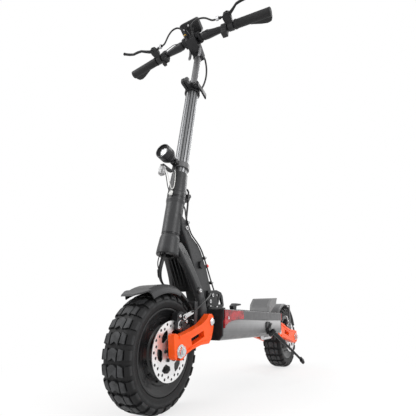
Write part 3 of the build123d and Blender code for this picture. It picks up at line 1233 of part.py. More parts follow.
with BuildPart() as front_loom:
    loom_top = steerer_low - 6
    cable([head_point(-9, -8, loom_top - 2), head_point(-12, -9, -84), head_point(-17, -6, -108),
           (-24, -455, 322),
           (-30, -433, 309), (-34.5, -409, 303.5), (-35.7, -386, 298), (-35.7, -368, 273),
           (-35.7, -357, 244)], 3)
    cable([head_point(2, -12, loom_top - 2), head_point(0, -14, -86), head_point(-4, -14, -112),
           (-12, -466, 320),
           (-19, -444, 304), (-25, -419, 297), (-29.4, -394, 291), (-29.4, -376, 269), (-29.4, -361, 247)], 3)
save(front_loom, "front_loom")
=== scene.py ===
"""Looks for the folding electric kick scooter, piece by piece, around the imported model."""
import json
import math

import bmesh
import bpy
from mathutils import Matrix, Vector


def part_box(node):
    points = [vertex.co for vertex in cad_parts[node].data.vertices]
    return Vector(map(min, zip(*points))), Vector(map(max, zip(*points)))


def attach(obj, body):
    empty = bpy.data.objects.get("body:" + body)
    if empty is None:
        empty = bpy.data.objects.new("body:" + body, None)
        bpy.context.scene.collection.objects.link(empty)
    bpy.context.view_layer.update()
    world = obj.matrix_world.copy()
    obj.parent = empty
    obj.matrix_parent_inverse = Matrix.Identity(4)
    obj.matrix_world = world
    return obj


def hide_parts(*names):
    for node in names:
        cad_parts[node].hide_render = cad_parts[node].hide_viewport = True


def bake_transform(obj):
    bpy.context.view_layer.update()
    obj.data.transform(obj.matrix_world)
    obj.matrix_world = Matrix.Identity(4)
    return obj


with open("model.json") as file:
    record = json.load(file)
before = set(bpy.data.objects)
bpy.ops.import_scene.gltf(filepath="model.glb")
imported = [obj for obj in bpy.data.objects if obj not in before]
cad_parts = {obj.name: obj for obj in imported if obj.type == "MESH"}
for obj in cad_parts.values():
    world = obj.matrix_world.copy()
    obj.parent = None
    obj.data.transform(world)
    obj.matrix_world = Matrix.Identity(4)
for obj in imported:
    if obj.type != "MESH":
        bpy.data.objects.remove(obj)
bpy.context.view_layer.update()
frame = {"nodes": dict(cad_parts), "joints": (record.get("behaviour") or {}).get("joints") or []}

# Studio: a white floor that keeps the scooter's shadow, two large soft lamps and a third behind,
# and the camera low in front on the rider's left, looking up along the stem.
scene = bpy.context.scene
scene.view_settings.view_transform = "Standard"
CAMERA_PLACE = (0.5553, -1.1602, 0.2089)
yaw, pitch, roll = math.radians(28.775), math.radians(18.121), math.radians(0.381)
ahead = Vector((-math.sin(yaw) * math.cos(pitch), math.cos(yaw) * math.cos(pitch), math.sin(pitch)))
level_right = Vector((math.cos(yaw), math.sin(yaw), 0.0))
level_up = level_right.cross(ahead)
view_right = level_right * math.cos(roll) + level_up * math.sin(roll)
view_up = level_up * math.cos(roll) - level_right * math.sin(roll)
camera_data = bpy.data.cameras.new("camera")
camera_data.lens = 27.39
camera_data.sensor_width = 36.0
camera_data.shift_x = -0.0293
camera_data.shift_y = 0.0236
camera_data.clip_start = 0.01
camera = bpy.data.objects.new("camera", camera_data)
scene.collection.objects.link(camera)
turn = Matrix((view_right, view_up, -ahead)).transposed().to_4x4()
camera.matrix_world = Matrix.Translation(CAMERA_PLACE) @ turn
scene.camera = camera


LAMP_AIM = Vector((0.0, 0.0, 0.55))


def soft_lamp(name, place, size, power):
    """A square area lamp aimed at the middle of the scooter."""
    data = bpy.data.lights.new(name, "AREA")
    data.energy, data.size = power, size
    lamp = bpy.data.objects.new(name, data)
    scene.collection.objects.link(lamp)
    aim = LAMP_AIM - Vector(place)
    lamp.matrix_world = Matrix.Translation(place) @ aim.to_track_quat("-Z", "Y").to_matrix().to_4x4()


soft_lamp("key_lamp", (-1.9, -2.2, 2.4), 1.8, 52)
soft_lamp("side_lamp", (2.6, -0.9, 1.7), 1.4, 38)
soft_lamp("back_lamp", (0.6, 2.6, 2.6), 2.0, 50)


class Signal:
    """A shader value, vector or colour. Arithmetic on it adds Math or Vector Math nodes."""

    def __init__(self, finish, socket):
        self.finish, self.socket = finish, socket

    def _with(self, operation, other, swapped=False):
        pair = (other, self) if swapped else (self, other)
        wide = any(isinstance(p, Signal) and p.socket.type == "VECTOR" for p in pair)
        if wide and not all(isinstance(p, (Signal, tuple, Vector)) for p in pair):
            pair = [p if isinstance(p, Signal) else (p, p, p) for p in pair]
        kind = "VectorMath" if wide else "Math"
        return self.finish.node(kind, {0: pair[0], 1: pair[1]}, operation=operation)

    def __add__(self, other):
        return self._with("ADD", other)

    def __radd__(self, other):
        return self._with("ADD", other, True)

    def __sub__(self, other):
        return self._with("SUBTRACT", other)

    def __rsub__(self, other):
        return self._with("SUBTRACT", other, True)

    def __mul__(self, other):
        return self._with("MULTIPLY", other)

    def __rmul__(self, other):
        return self._with("MULTIPLY", other, True)

    def __pow__(self, other):
        return self._with("POWER", other)

    def wave(self, pitch):
        """A wave from -1 to 1 that repeats every pitch metres."""
        return self.finish.node("Math", {0: self * (2 * math.pi / pitch)}, operation="SINE")

    def rise(self, low, high):
        """0 below low, 1 above high, with a smooth ramp between; low may be above high."""
        if low > high:
            return 1.0 - self.rise(high, low)
        spread = {"Value": self, "From Min": low, "From Max": high}
        return self.finish.node("MapRange", spread, interpolation_type="SMOOTHSTEP")


class Finish:
    """One surface finish: a Principled shader, and the nodes that vary it, added by node()."""

    def __init__(self, name, **constants):
        self.material = bpy.data.materials.new(name)
        self.material.use_nodes = True
        self.tree = self.material.node_tree
        self.shader = self.tree.nodes["Principled BSDF"]
        for socket, value in constants.items():
            self.plug(value, self.shader.inputs[socket.replace("_", " ")])
        self.place = self.node("TexCoord", out="Object")
        parts = self.node("SeparateXYZ", {0: self.place}).socket.node
        self.x, self.y, self.z = (Signal(self, parts.outputs[i]) for i in range(3))

    def plug(self, value, socket):
        if isinstance(value, Signal):
            self.tree.links.new(value.socket, socket)
        elif socket.type == "RGBA" and len(value) == 3:
            socket.default_value = (*value, 1.0)
        else:
            socket.default_value = value

    def node(self, kind, inputs=None, out=0, **settings):
        made = self.tree.nodes.new("ShaderNode" + kind)
        for key, value in settings.items():
            setattr(made, key, value)
        for key, value in (inputs or {}).items():
            self.plug(value, made.inputs[key])
        return Signal(self, made.outputs[out])

    def noise(self, scale, detail=3.0, at=None):
        """Soft noise from 0 to 1; scale is in features per metre."""
        return self.node("TexNoise", {"Vector": at or self.place, "Scale": scale, "Detail": detail})

    def blend(self, low, high, amount):
        """A colour between two, by an amount from 0 to 1."""
        return self.node("Mix", {0: amount, 6: low, 7: high}, out=2, data_type="RGBA")

    def off_axis(self, origin, way):
        """The distance in metres from a line."""
        ends = {0: self.place - tuple(origin), 1: tuple(way)}
        arm = self.node("VectorMath", ends, operation="CROSS_PRODUCT")
        return self.node("VectorMath", {0: arm}, out="Value", operation="LENGTH")

    def edges(self, radius):
        """(rounded normal, mask that is 1 on sharp edges)."""
        normal = self.node("Bevel", {"Radius": radius}, samples=4)
        flat = self.node("NewGeometry", out="Normal")
        match = self.node("VectorMath", {0: normal, 1: flat}, out="Value", operation="DOT_PRODUCT")
        return normal, (1.0 - match).rise(0.01, 0.16)

    def bump(self, height, strength, depth=0.001, normal=None):
        sockets = {"Height": height, "Strength": strength, "Distance": depth}
        if normal is not None:
            sockets["Normal"] = normal
        self.plug(self.node("Bump", sockets), self.shader.inputs["Normal"])

    def set(self, **varying):
        for socket, value in varying.items():
            self.plug(value, self.shader.inputs[socket.replace("_", " ")])
        return self


floor_mesh = bpy.data.meshes.new("floor")
FLOOR_REACH = 9
floor_corners = [(x * FLOOR_REACH, y * FLOOR_REACH, 0) for x, y in ((-1, -1), (1, -1), (1, 1), (-1, 1))]
floor_mesh.from_pydata(floor_corners, [], [(0, 1, 2, 3)])
floor = bpy.data.objects.new("floor", floor_mesh)
scene.collection.objects.link(floor)
floor_paint = Finish("studio_floor", Base_Color=(0.92, 0.92, 0.92), Roughness=0.7)
floor_paint.shader.inputs["Specular IOR Level"].default_value = 0.0
white = floor_paint.node("Emission", {"Color": (1.0, 1.0, 1.0), "Strength": 1.0})
path = floor_paint.node("LightPath", out="Is Camera Ray").socket.node
seen = floor_paint.node("Math", {0: Signal(floor_paint, path.outputs["Is Camera Ray"]),
                                 1: Signal(floor_paint, path.outputs["Is Glossy Ray"])}, operation="MAXIMUM")
FLOOR_GLOW = 0.65
far = floor_paint.off_axis((0.0, 0.0, 0.0), (0.0, 0.0, 1.0)).rise(0.3, 1.1)
shown = floor_paint.node("MixShader", {0: seen * (far * (1.0 - FLOOR_GLOW) + FLOOR_GLOW), 2: white})
floor_paint.tree.links.new(floor_paint.shader.outputs[0], shown.socket.node.inputs[1])
floor_paint.tree.links.new(shown.socket, floor_paint.tree.nodes["Material Output"].inputs["Surface"])
floor_mesh.materials.append(floor_paint.material)

world = bpy.data.worlds.new("studio")
scene.world = world
world.use_nodes = True
sky = world.node_tree
ray = sky.nodes.new("ShaderNodeLightPath")
level = sky.nodes.new("ShaderNodeMapRange")
level.inputs["To Min"].default_value = 0.6
level.inputs["To Max"].default_value = 1.0
seen_by = ray.outputs["Is Camera Ray"]
for kind in ("Is Glossy Ray", "Is Transmission Ray"):
    either = sky.nodes.new("ShaderNodeMath")
    either.operation = "MAXIMUM"
    sky.links.new(seen_by, either.inputs[0])
    sky.links.new(ray.outputs[kind], either.inputs[1])
    seen_by = either.outputs[0]
sky.links.new(seen_by, level.inputs["Value"])
sky.nodes["Background"].inputs["Color"].default_value = (1, 1, 1, 1)
sky.links.new(level.outputs["Result"], sky.nodes["Background"].inputs["Strength"])


# Deck: a folded aluminium tray in satin grey powder, with a darker band along its rim and painted sheen on
# its lower sides, a painted lid that is screwed down on it, and a plate at each end, the front one nearly
# black: dark powder with painted shade, which both plates share.
def dress(finish, *nodes):
    """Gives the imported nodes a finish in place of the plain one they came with."""
    for name in nodes:
        node = frame["nodes"][name]
        if not node.material_slots:
            node.data.materials.append(finish.material)
        for slot in node.material_slots:
            slot.material = finish.material


def powder_coat(name, colour, gloss=0.42, worn=0.3, band=None):
    """Satin powder with a faint orange peel, a little polished where hands and shoes rub its edges.
    band(coat, colour) may change the colour by place."""
    coat = Finish(name, Specular_IOR_Level=0.3 if max(colour) < 0.05 else 0.5)
    normal, rim = coat.edges(0.0008)
    wear = rim * coat.noise(220.0, 5.0).rise(0.45, 0.7) * worn
    shade = coat.blend(tuple(c * 0.93 for c in colour), tuple(min(1.0, c * 1.07) for c in colour),
                       coat.noise(14.0, 4.0).rise(0.3, 0.7))
    if band:
        shade = band(coat, shade)
    bare = tuple(min(1.0, c * 1.7 + 0.04) for c in colour)
    coat.set(Base_Color=coat.blend(shade, bare, wear),
             Roughness=coat.noise(60.0, 3.0).rise(0.3, 0.7) * 0.12 + (gloss - 0.05))
    coat.bump(coat.noise(1400.0, 2.0), 0.16, 0.0002, normal)
    return coat


BAND_LOW = 0.2145
STRIP_FRONT, STRIP_LOW = 0.2262, 0.212


def band_and_painted_sheen(coat, shade):
    """The rim band is dark; the lower side has painted sheen: painted lighter towards the tail, under the
    band and along the bottom fold, over faint brushing streaks.
    """
    above = coat.z.rise(BAND_LOW - 0.001, BAND_LOW + 0.001)
    tail = coat.y.rise(-0.3, 0.22)
    streak = coat.noise(1.0, 3.0, coat.place * (30.0, 2.0, 500.0)).rise(0.3, 0.7)
    painted_sheen_under_band, fold = coat.z.rise(0.170, 0.213), coat.z.rise(0.1605, 0.157)
    # Painted sheen: reflected light on the lower side is painted in, lighter under the band, towards the
    # tail and along the bottom fold.
    painted_sheen = painted_sheen_under_band * (tail * 0.55 + 0.3) + fold * 0.35 + streak * 0.07
    lower = coat.blend((0.1, 0.1, 0.102), (0.5, 0.5, 0.505), painted_sheen)
    return coat.blend(lower, (0.07, 0.07, 0.072), above)


def tail_strip(coat, shade):
    """A thin red edge along the top of the rear plate."""
    edge = coat.y.rise(STRIP_FRONT, STRIP_FRONT + 0.0006) * coat.z.rise(STRIP_LOW, STRIP_LOW + 0.002)
    return coat.blend(shade, (0.55, 0.03, 0.035), edge)


dress(powder_coat("deck_powder", (0.15, 0.15, 0.153), 0.38, 0.3, band_and_painted_sheen), "deck_shell")
dress(powder_coat("lid_powder", (0.06, 0.06, 0.062), 0.4), "deck_lid")
# The end plates share one dark powder deepened to nearly black with painted shade, the shade that falls on
# the front face.
dress(powder_coat("end_plate_powder_painted_shade", (0.012, 0.012, 0.013), 0.45, 0.15, tail_strip), "end_plates")

# Grip mat: black rubber glued into the lid, moulded with rows of small raised lozenges and a
# plain rim round its edge.
MAT_HALF_W = 0.083
LOZENGE_PITCH = 0.011
mat_rubber = Finish("mat_rubber")
rows = (mat_rubber.x + mat_rubber.y).wave(LOZENGE_PITCH) * (mat_rubber.x - mat_rubber.y).wave(LOZENGE_PITCH)
left_edge = mat_rubber.x.rise(MAT_HALF_W, MAT_HALF_W - 0.002)
right_edge = mat_rubber.x.rise(-MAT_HALF_W, 0.002 - MAT_HALF_W)
lozenge = rows.rise(0.05, 0.3) * (left_edge * right_edge)
mat_rubber.set(Base_Color=mat_rubber.blend((0.018, 0.018, 0.018), (0.045, 0.044, 0.043),
                                           lozenge * mat_rubber.noise(140.0)),
               Roughness=mat_rubber.noise(90.0) * 0.2 + 0.68)
mat_rubber.bump(lozenge + mat_rubber.noise(1500.0) * 0.1, 0.8, 0.0009)
dress(mat_rubber, "grip_mat")


# Battery and controller, closed in by the tray and its lid: blue shrink film over the cells, and a
# black case for the controller.
def mottled(name, low, high, grain, rough=None, relief=None, **constants):
    """A finish that drifts between two shades. grain is (scale, detail) of the colour's noise,
    rough is (scale, detail, spread, least) and relief is (scale, detail, strength, depth)."""
    finish = Finish(name, **constants)
    finish.set(Base_Color=finish.blend(low, high, finish.noise(*grain)))
    if rough:
        scale, detail, spread, least = rough
        finish.set(Roughness=finish.noise(scale, detail) * spread + least)
    if relief:
        scale, detail, strength, depth = relief
        finish.bump(finish.noise(scale, detail), strength, depth)
    return finish


film = mottled("cell_film", (0.02, 0.09, 0.3), (0.03, 0.13, 0.4), (30.0, 3.0),
               relief=(120.0, 4.0, 0.35, 0.001), Roughness=0.3)
dress(film, "battery_pack")
dress(powder_coat("controller_case", (0.02, 0.02, 0.021), 0.5), "controller")

# Side reflectors and tail light: red moulded lenses over rows of small prisms, darker in patches
# where the moulding is thick.
red_lens = Finish("red_lens", Roughness=0.16, Specular_IOR_Level=0.3, Coat_Weight=0.15, Coat_Roughness=0.05)
prisms = red_lens.node("TexVoronoi", {"Vector": red_lens.place, "Scale": 260.0, "Randomness": 0.35},
                       out="Distance")
thin = red_lens.noise(45.0, 2.0).rise(0.35, 0.65)
red_lens.set(Base_Color=red_lens.blend(red_lens.blend((0.15, 0.003, 0.005), (0.42, 0.01, 0.016), thin),
                                       (0.6, 0.04, 0.055), prisms.rise(0.55, 0.75)))
red_lens.bump(prisms, 0.7, 0.0012)
dress(red_lens, "reflectors")


# Lid screws: five small black button screws down each side of the lid, outside the mat, all in
# one piece.
def turned(profile, steps=36, hexed=(), hollow=False):
    """A mesh turned about Z from (radius, height) points; rings whose places are in hexed are six-sided.
    A hollow one closes its last point onto its first, as a ring does, in place of capping both."""
    work = bmesh.new()
    rings = []
    for place, (radius, height) in enumerate(profile):
        ring = []
        for k in range(steps if radius else 1):
            angle = 2 * math.pi * k / steps
            off_flat = angle % (math.pi / 3) - math.pi / 6
            reach = radius * (math.cos(math.pi / 6) / math.cos(off_flat) if place in hexed else 1.0)
            ring.append(work.verts.new((reach * math.cos(angle), reach * math.sin(angle), height)))
        rings.append(ring)
    for low, high in zip(rings, rings[1:] + rings[:1] if hollow else rings[1:]):
        for k in range(steps):
            corners = [low[k % len(low)], low[(k + 1) % len(low)],
                       high[(k + 1) % len(high)], high[k % len(high)]]
            work.faces.new(list(dict.fromkeys(corners)))
    for end in () if hollow else (rings[0], rings[-1]):
        if len(end) > 1:
            work.faces.new(end)
    bmesh.ops.recalc_face_normals(work, faces=work.faces)
    mesh = bpy.data.meshes.new("turned")
    work.to_mesh(mesh)
    work.free()
    return mesh


def facing(origin, way):
    """The matrix that stands a turned mesh at origin with its Z along way."""
    return Matrix.Translation(origin) @ Vector(way).to_track_quat("Z", "Y").to_matrix().to_4x4()


def tipped(origin, degrees, axis="X"):
    """The matrix that moves a mesh to origin and turns it about one axis."""
    return Matrix.Translation(origin) @ Matrix.Rotation(math.radians(degrees), 4, axis)


def fit(name, mesh, finish, body, stand=None):
    """Sets a detail piece in place, in its finish, riding on its body."""
    if stand:
        mesh.transform(stand)
    mesh.materials.clear()
    mesh.materials.append(finish.material)
    mesh.shade_smooth()
    mesh.set_sharp_from_angle(angle=math.radians(38))
    made = bpy.data.objects.new(name, mesh)
    scene.collection.objects.link(made)
    if body:
        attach(made, body)
    return made


def set_of(profile, stands, steps=24, hexed=(1, 2)):
    """One mesh of several like turned pieces, one at each stand."""
    work = bmesh.new()
    for stand in stands:
        mesh = turned(profile, steps, hexed)
        mesh.transform(stand)
        work.from_mesh(mesh)
        bpy.data.meshes.remove(mesh)
    mesh = bpy.data.meshes.new("joined")
    work.to_mesh(mesh)
    work.free()
    return mesh


LID_SCREW_X = 0.0915
LID_SCREW_YS = (-0.14, -0.065, 0.01, 0.085, 0.16)
LID_SCREW = [(0.0, 0.0006), (0.0014, 0.0006), (0.0015, 0.0013), (0.0034, 0.0013), (0.0040, 0.0006),
             (0.0040, -0.0004)]
black_screw = powder_coat("black_oxide_screw", (0.014, 0.014, 0.015), 0.35, 0.4)
lid_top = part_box("deck_lid")[1].z
lid_stands = [facing((x, y, lid_top), (0, 0, 1)) for x in (-LID_SCREW_X, LID_SCREW_X) for y in LID_SCREW_YS]
fit("lid_screws", set_of(LID_SCREW, lid_stands), black_screw, "deck")

# Damper block under the tail: a ribbed aluminium barrel with a red rubber tip, lying along the
# underside of the deck.
DAMPER_FOOT = Vector((0.052, 0.118, 0.1475))
DAMPER_WAY = Vector((0, 1, 0.03))
BARREL_LENGTH = 0.085
RIB_R, GROOVE_R, RIB_PITCH = 0.009, 0.0075, 0.011
bright = mottled("machined_aluminium", (0.52, 0.52, 0.53), (0.74, 0.74, 0.75), (60.0, 4.0),
                 (260.0, 3.0, 0.16, 0.2), (900.0, 2.0, 0.12, 0.0002), Metallic=1.0)
red_rubber = mottled("red_rubber", (0.5, 0.02, 0.012), (0.65, 0.04, 0.02), (60.0, 3.0),
                     (200.0, 3.0, 0.2, 0.4))
ribs = [(0.0, 0.0), (GROOVE_R, 0.0), (RIB_R, 0.0015)]
for k in range(7):
    ribs += [(RIB_R, 0.006 + RIB_PITCH * k), (GROOVE_R, 0.007 + RIB_PITCH * k),
             (GROOVE_R, 0.0095 + RIB_PITCH * k), (RIB_R, 0.0105 + RIB_PITCH * k)]
ribs += [(RIB_R, BARREL_LENGTH - 0.002), (GROOVE_R, BARREL_LENGTH), (0.0, BARREL_LENGTH)]
fit("damper_barrel", turned(ribs), bright, "deck", facing(DAMPER_FOOT, DAMPER_WAY))
DAMPER_TIP = [(0.0, 0.0), (0.006, 0.0), (0.0072, 0.002), (0.0072, 0.009), (0.0055, 0.013), (0.0, 0.014)]
fit("damper_tip", turned(DAMPER_TIP), red_rubber, "deck",
    facing((0.052, 0.2029, 0.1501), DAMPER_WAY))

# Raised footrest: a pressed plate in grey powder, curved up over the wheel, with a plain darker
# pad on its face for the back foot.
PAD_LOW, PAD_HIGH, PAD_HALF_W = 0.268, 0.306, 0.037


def rest_pad(coat, shade):
    """The pad is a darker rectangle on the slope of the plate."""
    across = coat.x.rise(PAD_HALF_W, PAD_HALF_W - 0.001) * coat.x.rise(-PAD_HALF_W, 0.001 - PAD_HALF_W)
    pad = coat.z.rise(PAD_LOW, PAD_LOW + 0.002) * coat.z.rise(PAD_HIGH, PAD_HIGH - 0.002) * across
    return coat.blend(shade, (0.09, 0.09, 0.092), pad * 0.7)


dress(powder_coat("footrest_powder", (0.15, 0.15, 0.152), 0.36, 0.3, rest_pad), "rear_footrest")

# Neck and fork: the head tube on its beam, the bracket that bolts it to the lid, and the fork, all
# in dark satin powder. The bolts are plated steel, and a black cap closes the charging socket.
WEB_HALF_W, WEB_LOW, WEB_HIGH = 0.026, 0.282, 0.405
dark_coat = powder_coat("dark_powder", (0.034, 0.0345, 0.036), 0.36)
dress(dark_coat, "neck_frame", "stem_sleeve", "hinge_base")


def web_shadow(coat, shade):
    """The web between the fork's legs is nearly black."""
    between = coat.x.rise(WEB_HALF_W, WEB_HALF_W - 0.007) * coat.x.rise(-WEB_HALF_W, 0.007 - WEB_HALF_W)
    tall = coat.z.rise(WEB_LOW, WEB_LOW + 0.008) * coat.z.rise(WEB_HIGH, WEB_HIGH - 0.02)
    return coat.blend(shade, (0.008, 0.008, 0.0085), between * tall)


dress(powder_coat("fork_powder", (0.03, 0.0305, 0.032), 0.38, 0.3, web_shadow), "fork")
dress(powder_coat("bracket_powder", (0.014, 0.0145, 0.0155), 0.36), "neck_bracket")
plated = Finish("zinc_plated_steel", Metallic=1.0)
plated_normal, plated_rim = plated.edges(0.0005)
plated.set(Base_Color=plated.blend((0.5, 0.5, 0.51), (0.78, 0.78, 0.78),
                                   plated.noise(90.0, 4.0) + plated_rim * 0.3),
           Roughness=plated.noise(420.0, 3.0) * 0.14 + 0.16)
plated.bump(plated.noise(700.0, 2.0), 0.1, 0.0002, plated_normal)
dress(plated, "deck_bolts", "front_axle_set", "rear_axle_set", "front_caliper_arm", "rear_caliper_arm")
black_metal = powder_coat("black_anodising", (0.014, 0.014, 0.0155), 0.34, 0.35)
dress(black_metal, "head_bearings", "deck_hook", "charge_cap")

# Fork leg bolts: a plated cap bolt in a black washer on the outer face of each leg, a little
# above the swing arm.
FORK_BOLT_X, FORK_BOLT_Y, FORK_BOLT_Z = 0.0523, -0.3640, 0.2935
FORK_BOLT = [(0.0, 0.0012), (0.0026, 0.0012), (0.0028, 0.0040), (0.0052, 0.0040), (0.0058, 0.0032),
             (0.0058, 0.0)]
FORK_WASHER = [(0.0058, -0.003), (0.0105, -0.003), (0.0105, 0.0008), (0.0098, 0.0014), (0.0058, 0.0014)]
for side in (1, -1):
    stand = facing((side * FORK_BOLT_X, FORK_BOLT_Y, FORK_BOLT_Z), (side, 0, 0))
    fit(f"fork_bolt_{side + 2}", turned(FORK_BOLT, 30, (1, 2)), plated, "steering", stand)
    fit(f"fork_washer_{side + 2}", turned(FORK_WASHER, 30, hollow=True), black_screw, "steering",
        stand)


# Red fold pin tab on the back of the beam: a bent lug with rounded corners on a short black stub
# that comes out of the beam.
def rounded_block(size, soft, segments=3):
    """A block of the given size about the origin with rounded edges."""
    work = bmesh.new()
    bmesh.ops.create_cube(work, size=1.0)
    bmesh.ops.scale(work, vec=size, verts=work.verts)
    bmesh.ops.bevel(work, geom=work.edges[:], offset=soft, segments=segments, profile=0.5, affect="EDGES")
    mesh = bpy.data.meshes.new("block")
    work.to_mesh(mesh)
    work.free()
    return mesh


BEAM_BACK = (0.0, 0.88, 0.475)
PIN_STUB = [(0.0, -0.004), (0.0055, -0.004), (0.006, 0.0), (0.006, 0.008), (0.005, 0.009), (0.0, 0.009)]
red_plastic = mottled("red_plastic", (0.62, 0.012, 0.014), (0.74, 0.02, 0.02), (50.0, 3.0),
                      relief=(1200.0, 3.0, 0.12, 0.0002), Roughness=0.3)
fit("fold_pin_tab", rounded_block((0.012, 0.015, 0.010), 0.0025), red_plastic, "deck",
    tipped((0.022, -0.2815, 0.3785), 28))
fit("fold_pin_stub", turned(PIN_STUB), black_metal, "deck",
    facing((0.022, -0.2935, 0.3725), BEAM_BACK))

# Tyres: tall road and trail blocks in carbon black rubber, lighter grey on the block tops and darker in the
# grooves with painted shade, with fine sipes in the blocks and rings on the sidewall.
joints = {j["name"]: j for j in frame["joints"]}
TREAD_HALF_W = 0.0395


def joint_place(name):
    """Where a joint turns or slides, in metres."""
    return Vector(joints[name]["pos_m"])


def tyre_rubber(end):
    rubber = Finish(end + "_tyre_rubber", Specular_IOR_Level=0.3)
    reach = rubber.off_axis(joint_place(end + "_wheel_spin"), (1.0, 0.0, 0.0))
    left_blocks = rubber.x.rise(TREAD_HALF_W, TREAD_HALF_W + 0.002) * 0.5
    right_blocks = rubber.x.rise(-TREAD_HALF_W, -TREAD_HALF_W - 0.002) * 0.5
    top = reach.rise(0.1365, 0.1392) + left_blocks + right_blocks
    side = reach.rise(0.131, 0.124)
    rings = reach.wave(0.0026).rise(0.55, 0.9) * side * reach.rise(0.104, 0.107)
    mottle = rubber.noise(70.0, 5.0).rise(0.3, 0.75)
    # Painted shade: the grooves between the blocks are painted near black, the sidewall a little lighter,
    # and the block tops a lighter grey.
    shade = rubber.blend((0.004, 0.004, 0.0045), (0.0085, 0.0085, 0.009), side)
    block = rubber.blend((0.024, 0.0245, 0.0255), (0.058, 0.059, 0.062), mottle)
    rubber.set(Base_Color=rubber.blend(shade, block, top), Roughness=rubber.noise(120.0) * 0.2 + 0.5)
    sipes = rubber.x.wave(0.0052).rise(0.8, 0.98) * top
    rubber.bump(rubber.noise(800.0) * 0.25 + rings * 0.6 - sipes * 0.8, 0.5, 0.0006)
    return rubber


dress(tyre_rubber("front"), "front_tyre")
dress(tyre_rubber("rear"), "rear_tyre")


# Hub motors: cast rims in semi-gloss black, turned clean on their faces, with painted highlight on the
# turned rings and sharp edges, each with a brass tyre valve under a black cap.
def motor_paint(end):
    paint = Finish(end + "_motor_black", Specular_IOR_Level=0.35, Coat_Weight=0.2, Coat_Roughness=0.2)
    reach = paint.off_axis(joint_place(end + "_wheel_spin"), (1.0, 0.0, 0.0))
    normal, rim = paint.edges(0.0009)
    lathe_rings_and_painted_highlight = reach.wave(0.0021).rise(-0.6, 0.9)
    # Painted highlight: the colour is lighter on the turned rings and on sharp edges, as bright arcs of
    # reflection; the rings are real relief in the bump as well.
    paint.set(Base_Color=paint.blend((0.004, 0.004, 0.0045), (0.014, 0.014, 0.015),
                                     lathe_rings_and_painted_highlight * 0.5 + rim * 0.5),
              Roughness=paint.noise(90.0) * 0.14 + 0.24)
    paint.bump(lathe_rings_and_painted_highlight * reach.rise(0.05, 0.06), 0.25, 0.0003, normal)
    return paint


VALVE_ANGLE = math.radians(205)
VALVE_X, VALVE_REACH, VALVE_LEAN = 0.0285, 0.084, 0.30
VALVE = [(0.0, 0.0), (0.003, 0.0), (0.003, 0.012), (0.0, 0.012)]
VALVE_CAP = [(0.0, 0.008), (0.0042, 0.008), (0.0044, 0.017), (0.003, 0.0185), (0.0, 0.0185)]
dress(motor_paint("front"), "front_hub_motor")
dress(motor_paint("rear"), "rear_hub_motor")
brass = mottled("valve_brass", (0.55, 0.38, 0.15), (0.7, 0.5, 0.22), (300.0, 3.0), (500.0, 3.0, 0.2, 0.25),
                Metallic=1.0)
outwards = Vector((0, math.cos(VALVE_ANGLE), math.sin(VALVE_ANGLE)))
for end in ("front", "rear"):
    foot = joint_place(end + "_wheel_spin") + outwards * VALVE_REACH + Vector((VALVE_X, 0, 0))
    stand = facing(foot, -(outwards + Vector((VALVE_LEAN, 0, 0))))
    fit(end + "_valve", turned(VALVE), brass, end + "_wheel", stand)
    fit(end + "_valve_cap", turned(VALVE_CAP, 18), black_metal, end + "_wheel", stand)


# Brake discs: laser-cut stainless plate, with the braking face ground in fine circles and a little
# brighter than the spokes.
def ground_disc(end):
    disc = Finish(end + "_disc_steel", Metallic=0.85)
    reach = disc.off_axis(joint_place(end + "_wheel_spin"), (1.0, 0.0, 0.0))
    track = reach.rise(0.0545, 0.0555)
    circles = disc.noise(1.0, 2.0, disc.node("CombineXYZ", {0: reach * 2600.0}))
    disc.set(Base_Color=disc.blend((0.74, 0.74, 0.745), (0.9, 0.9, 0.9), circles * 0.4 + track * 0.5),
             Roughness=circles * 0.1 + 0.3)
    disc.bump(circles, 0.1, 0.0002, disc.edges(0.0004)[0])
    return disc


dress(ground_disc("front"), "front_disc")
dress(ground_disc("rear"), "rear_disc")

# Swing arms: cast aluminium in bright orange powder, turning on sprung pivots, with plated axles
# and nuts.
orange_coat = powder_coat("orange_powder", (0.97, 0.095, 0.006), 0.36, 0.1)
orange_coat.shader.inputs["Specular IOR Level"].default_value = 0.3
dress(orange_coat, "front_arms", "rear_arms")

# Calipers: cast black bodies, each with a pad adjuster cap in a bright ring, three plated bolts,
# and the cable's clamp bolt on its arm.
def about_axle(hub, x, radius, degrees):
    """The stand that faces left at x, at a radius and an angle about an axle."""
    angle = math.radians(degrees)
    return facing((x, hub.y + radius * math.cos(angle), hub.z + radius * math.sin(angle)), (1, 0, 0))


dress(black_metal, "front_caliper", "rear_caliper")
BOLT = [(0.0, 0.0012), (0.0017, 0.0012), (0.0019, 0.0036), (0.0033, 0.0036), (0.0038, 0.0029), (0.0038, 0.0)]
PAD_CAP = [(0.0, 0.001), (0.003, 0.001), (0.0032, 0.0032), (0.0085, 0.0032), (0.0095, 0.0022),
           (0.0095, -0.002)]
PAD_RING = [(0.0095, -0.002), (0.0112, -0.002), (0.0112, 0.0014), (0.0095, 0.0022)]
PAD_REACH, FACE_FROM_BACK = 0.064, 0.0185
for end, sense, start, stop in (("front", 1, 50, 84), ("rear", -1, 146, 112)):
    hub = joint_place(end + "_wheel_spin")
    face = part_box(end + "_caliper")[0].x + FACE_FROM_BACK
    pad_stand = about_axle(hub, face, PAD_REACH, (start + stop) / 2 + 3 * sense)
    fit(end + "_pad_adjuster", turned(PAD_CAP, 36, (1, 2)), black_screw, end + "_arm",
        pad_stand)
    fit(end + "_adjuster_ring", turned(PAD_RING, hollow=True), bright, end + "_arm",
        pad_stand)
    bolt_spots = ((0.082, start + 6 * sense), (0.083, stop - 6 * sense), (0.055, stop - 8 * sense))
    bolt_stands = [about_axle(hub, face, radius, angle) for radius, angle in bolt_spots]
    fit(end + "_caliper_bolts", set_of(BOLT, bolt_stands), plated, end + "_arm")
    pivot = joint_place(end + "_brake_arm_pull")
    fit(end + "_cable_clamp", turned(BOLT, 24, (1, 2)), plated, end + "_brake_arm",
        facing((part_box(end + "_caliper_arm")[1].x, pivot.y, pivot.z), (1, 0, 0)))


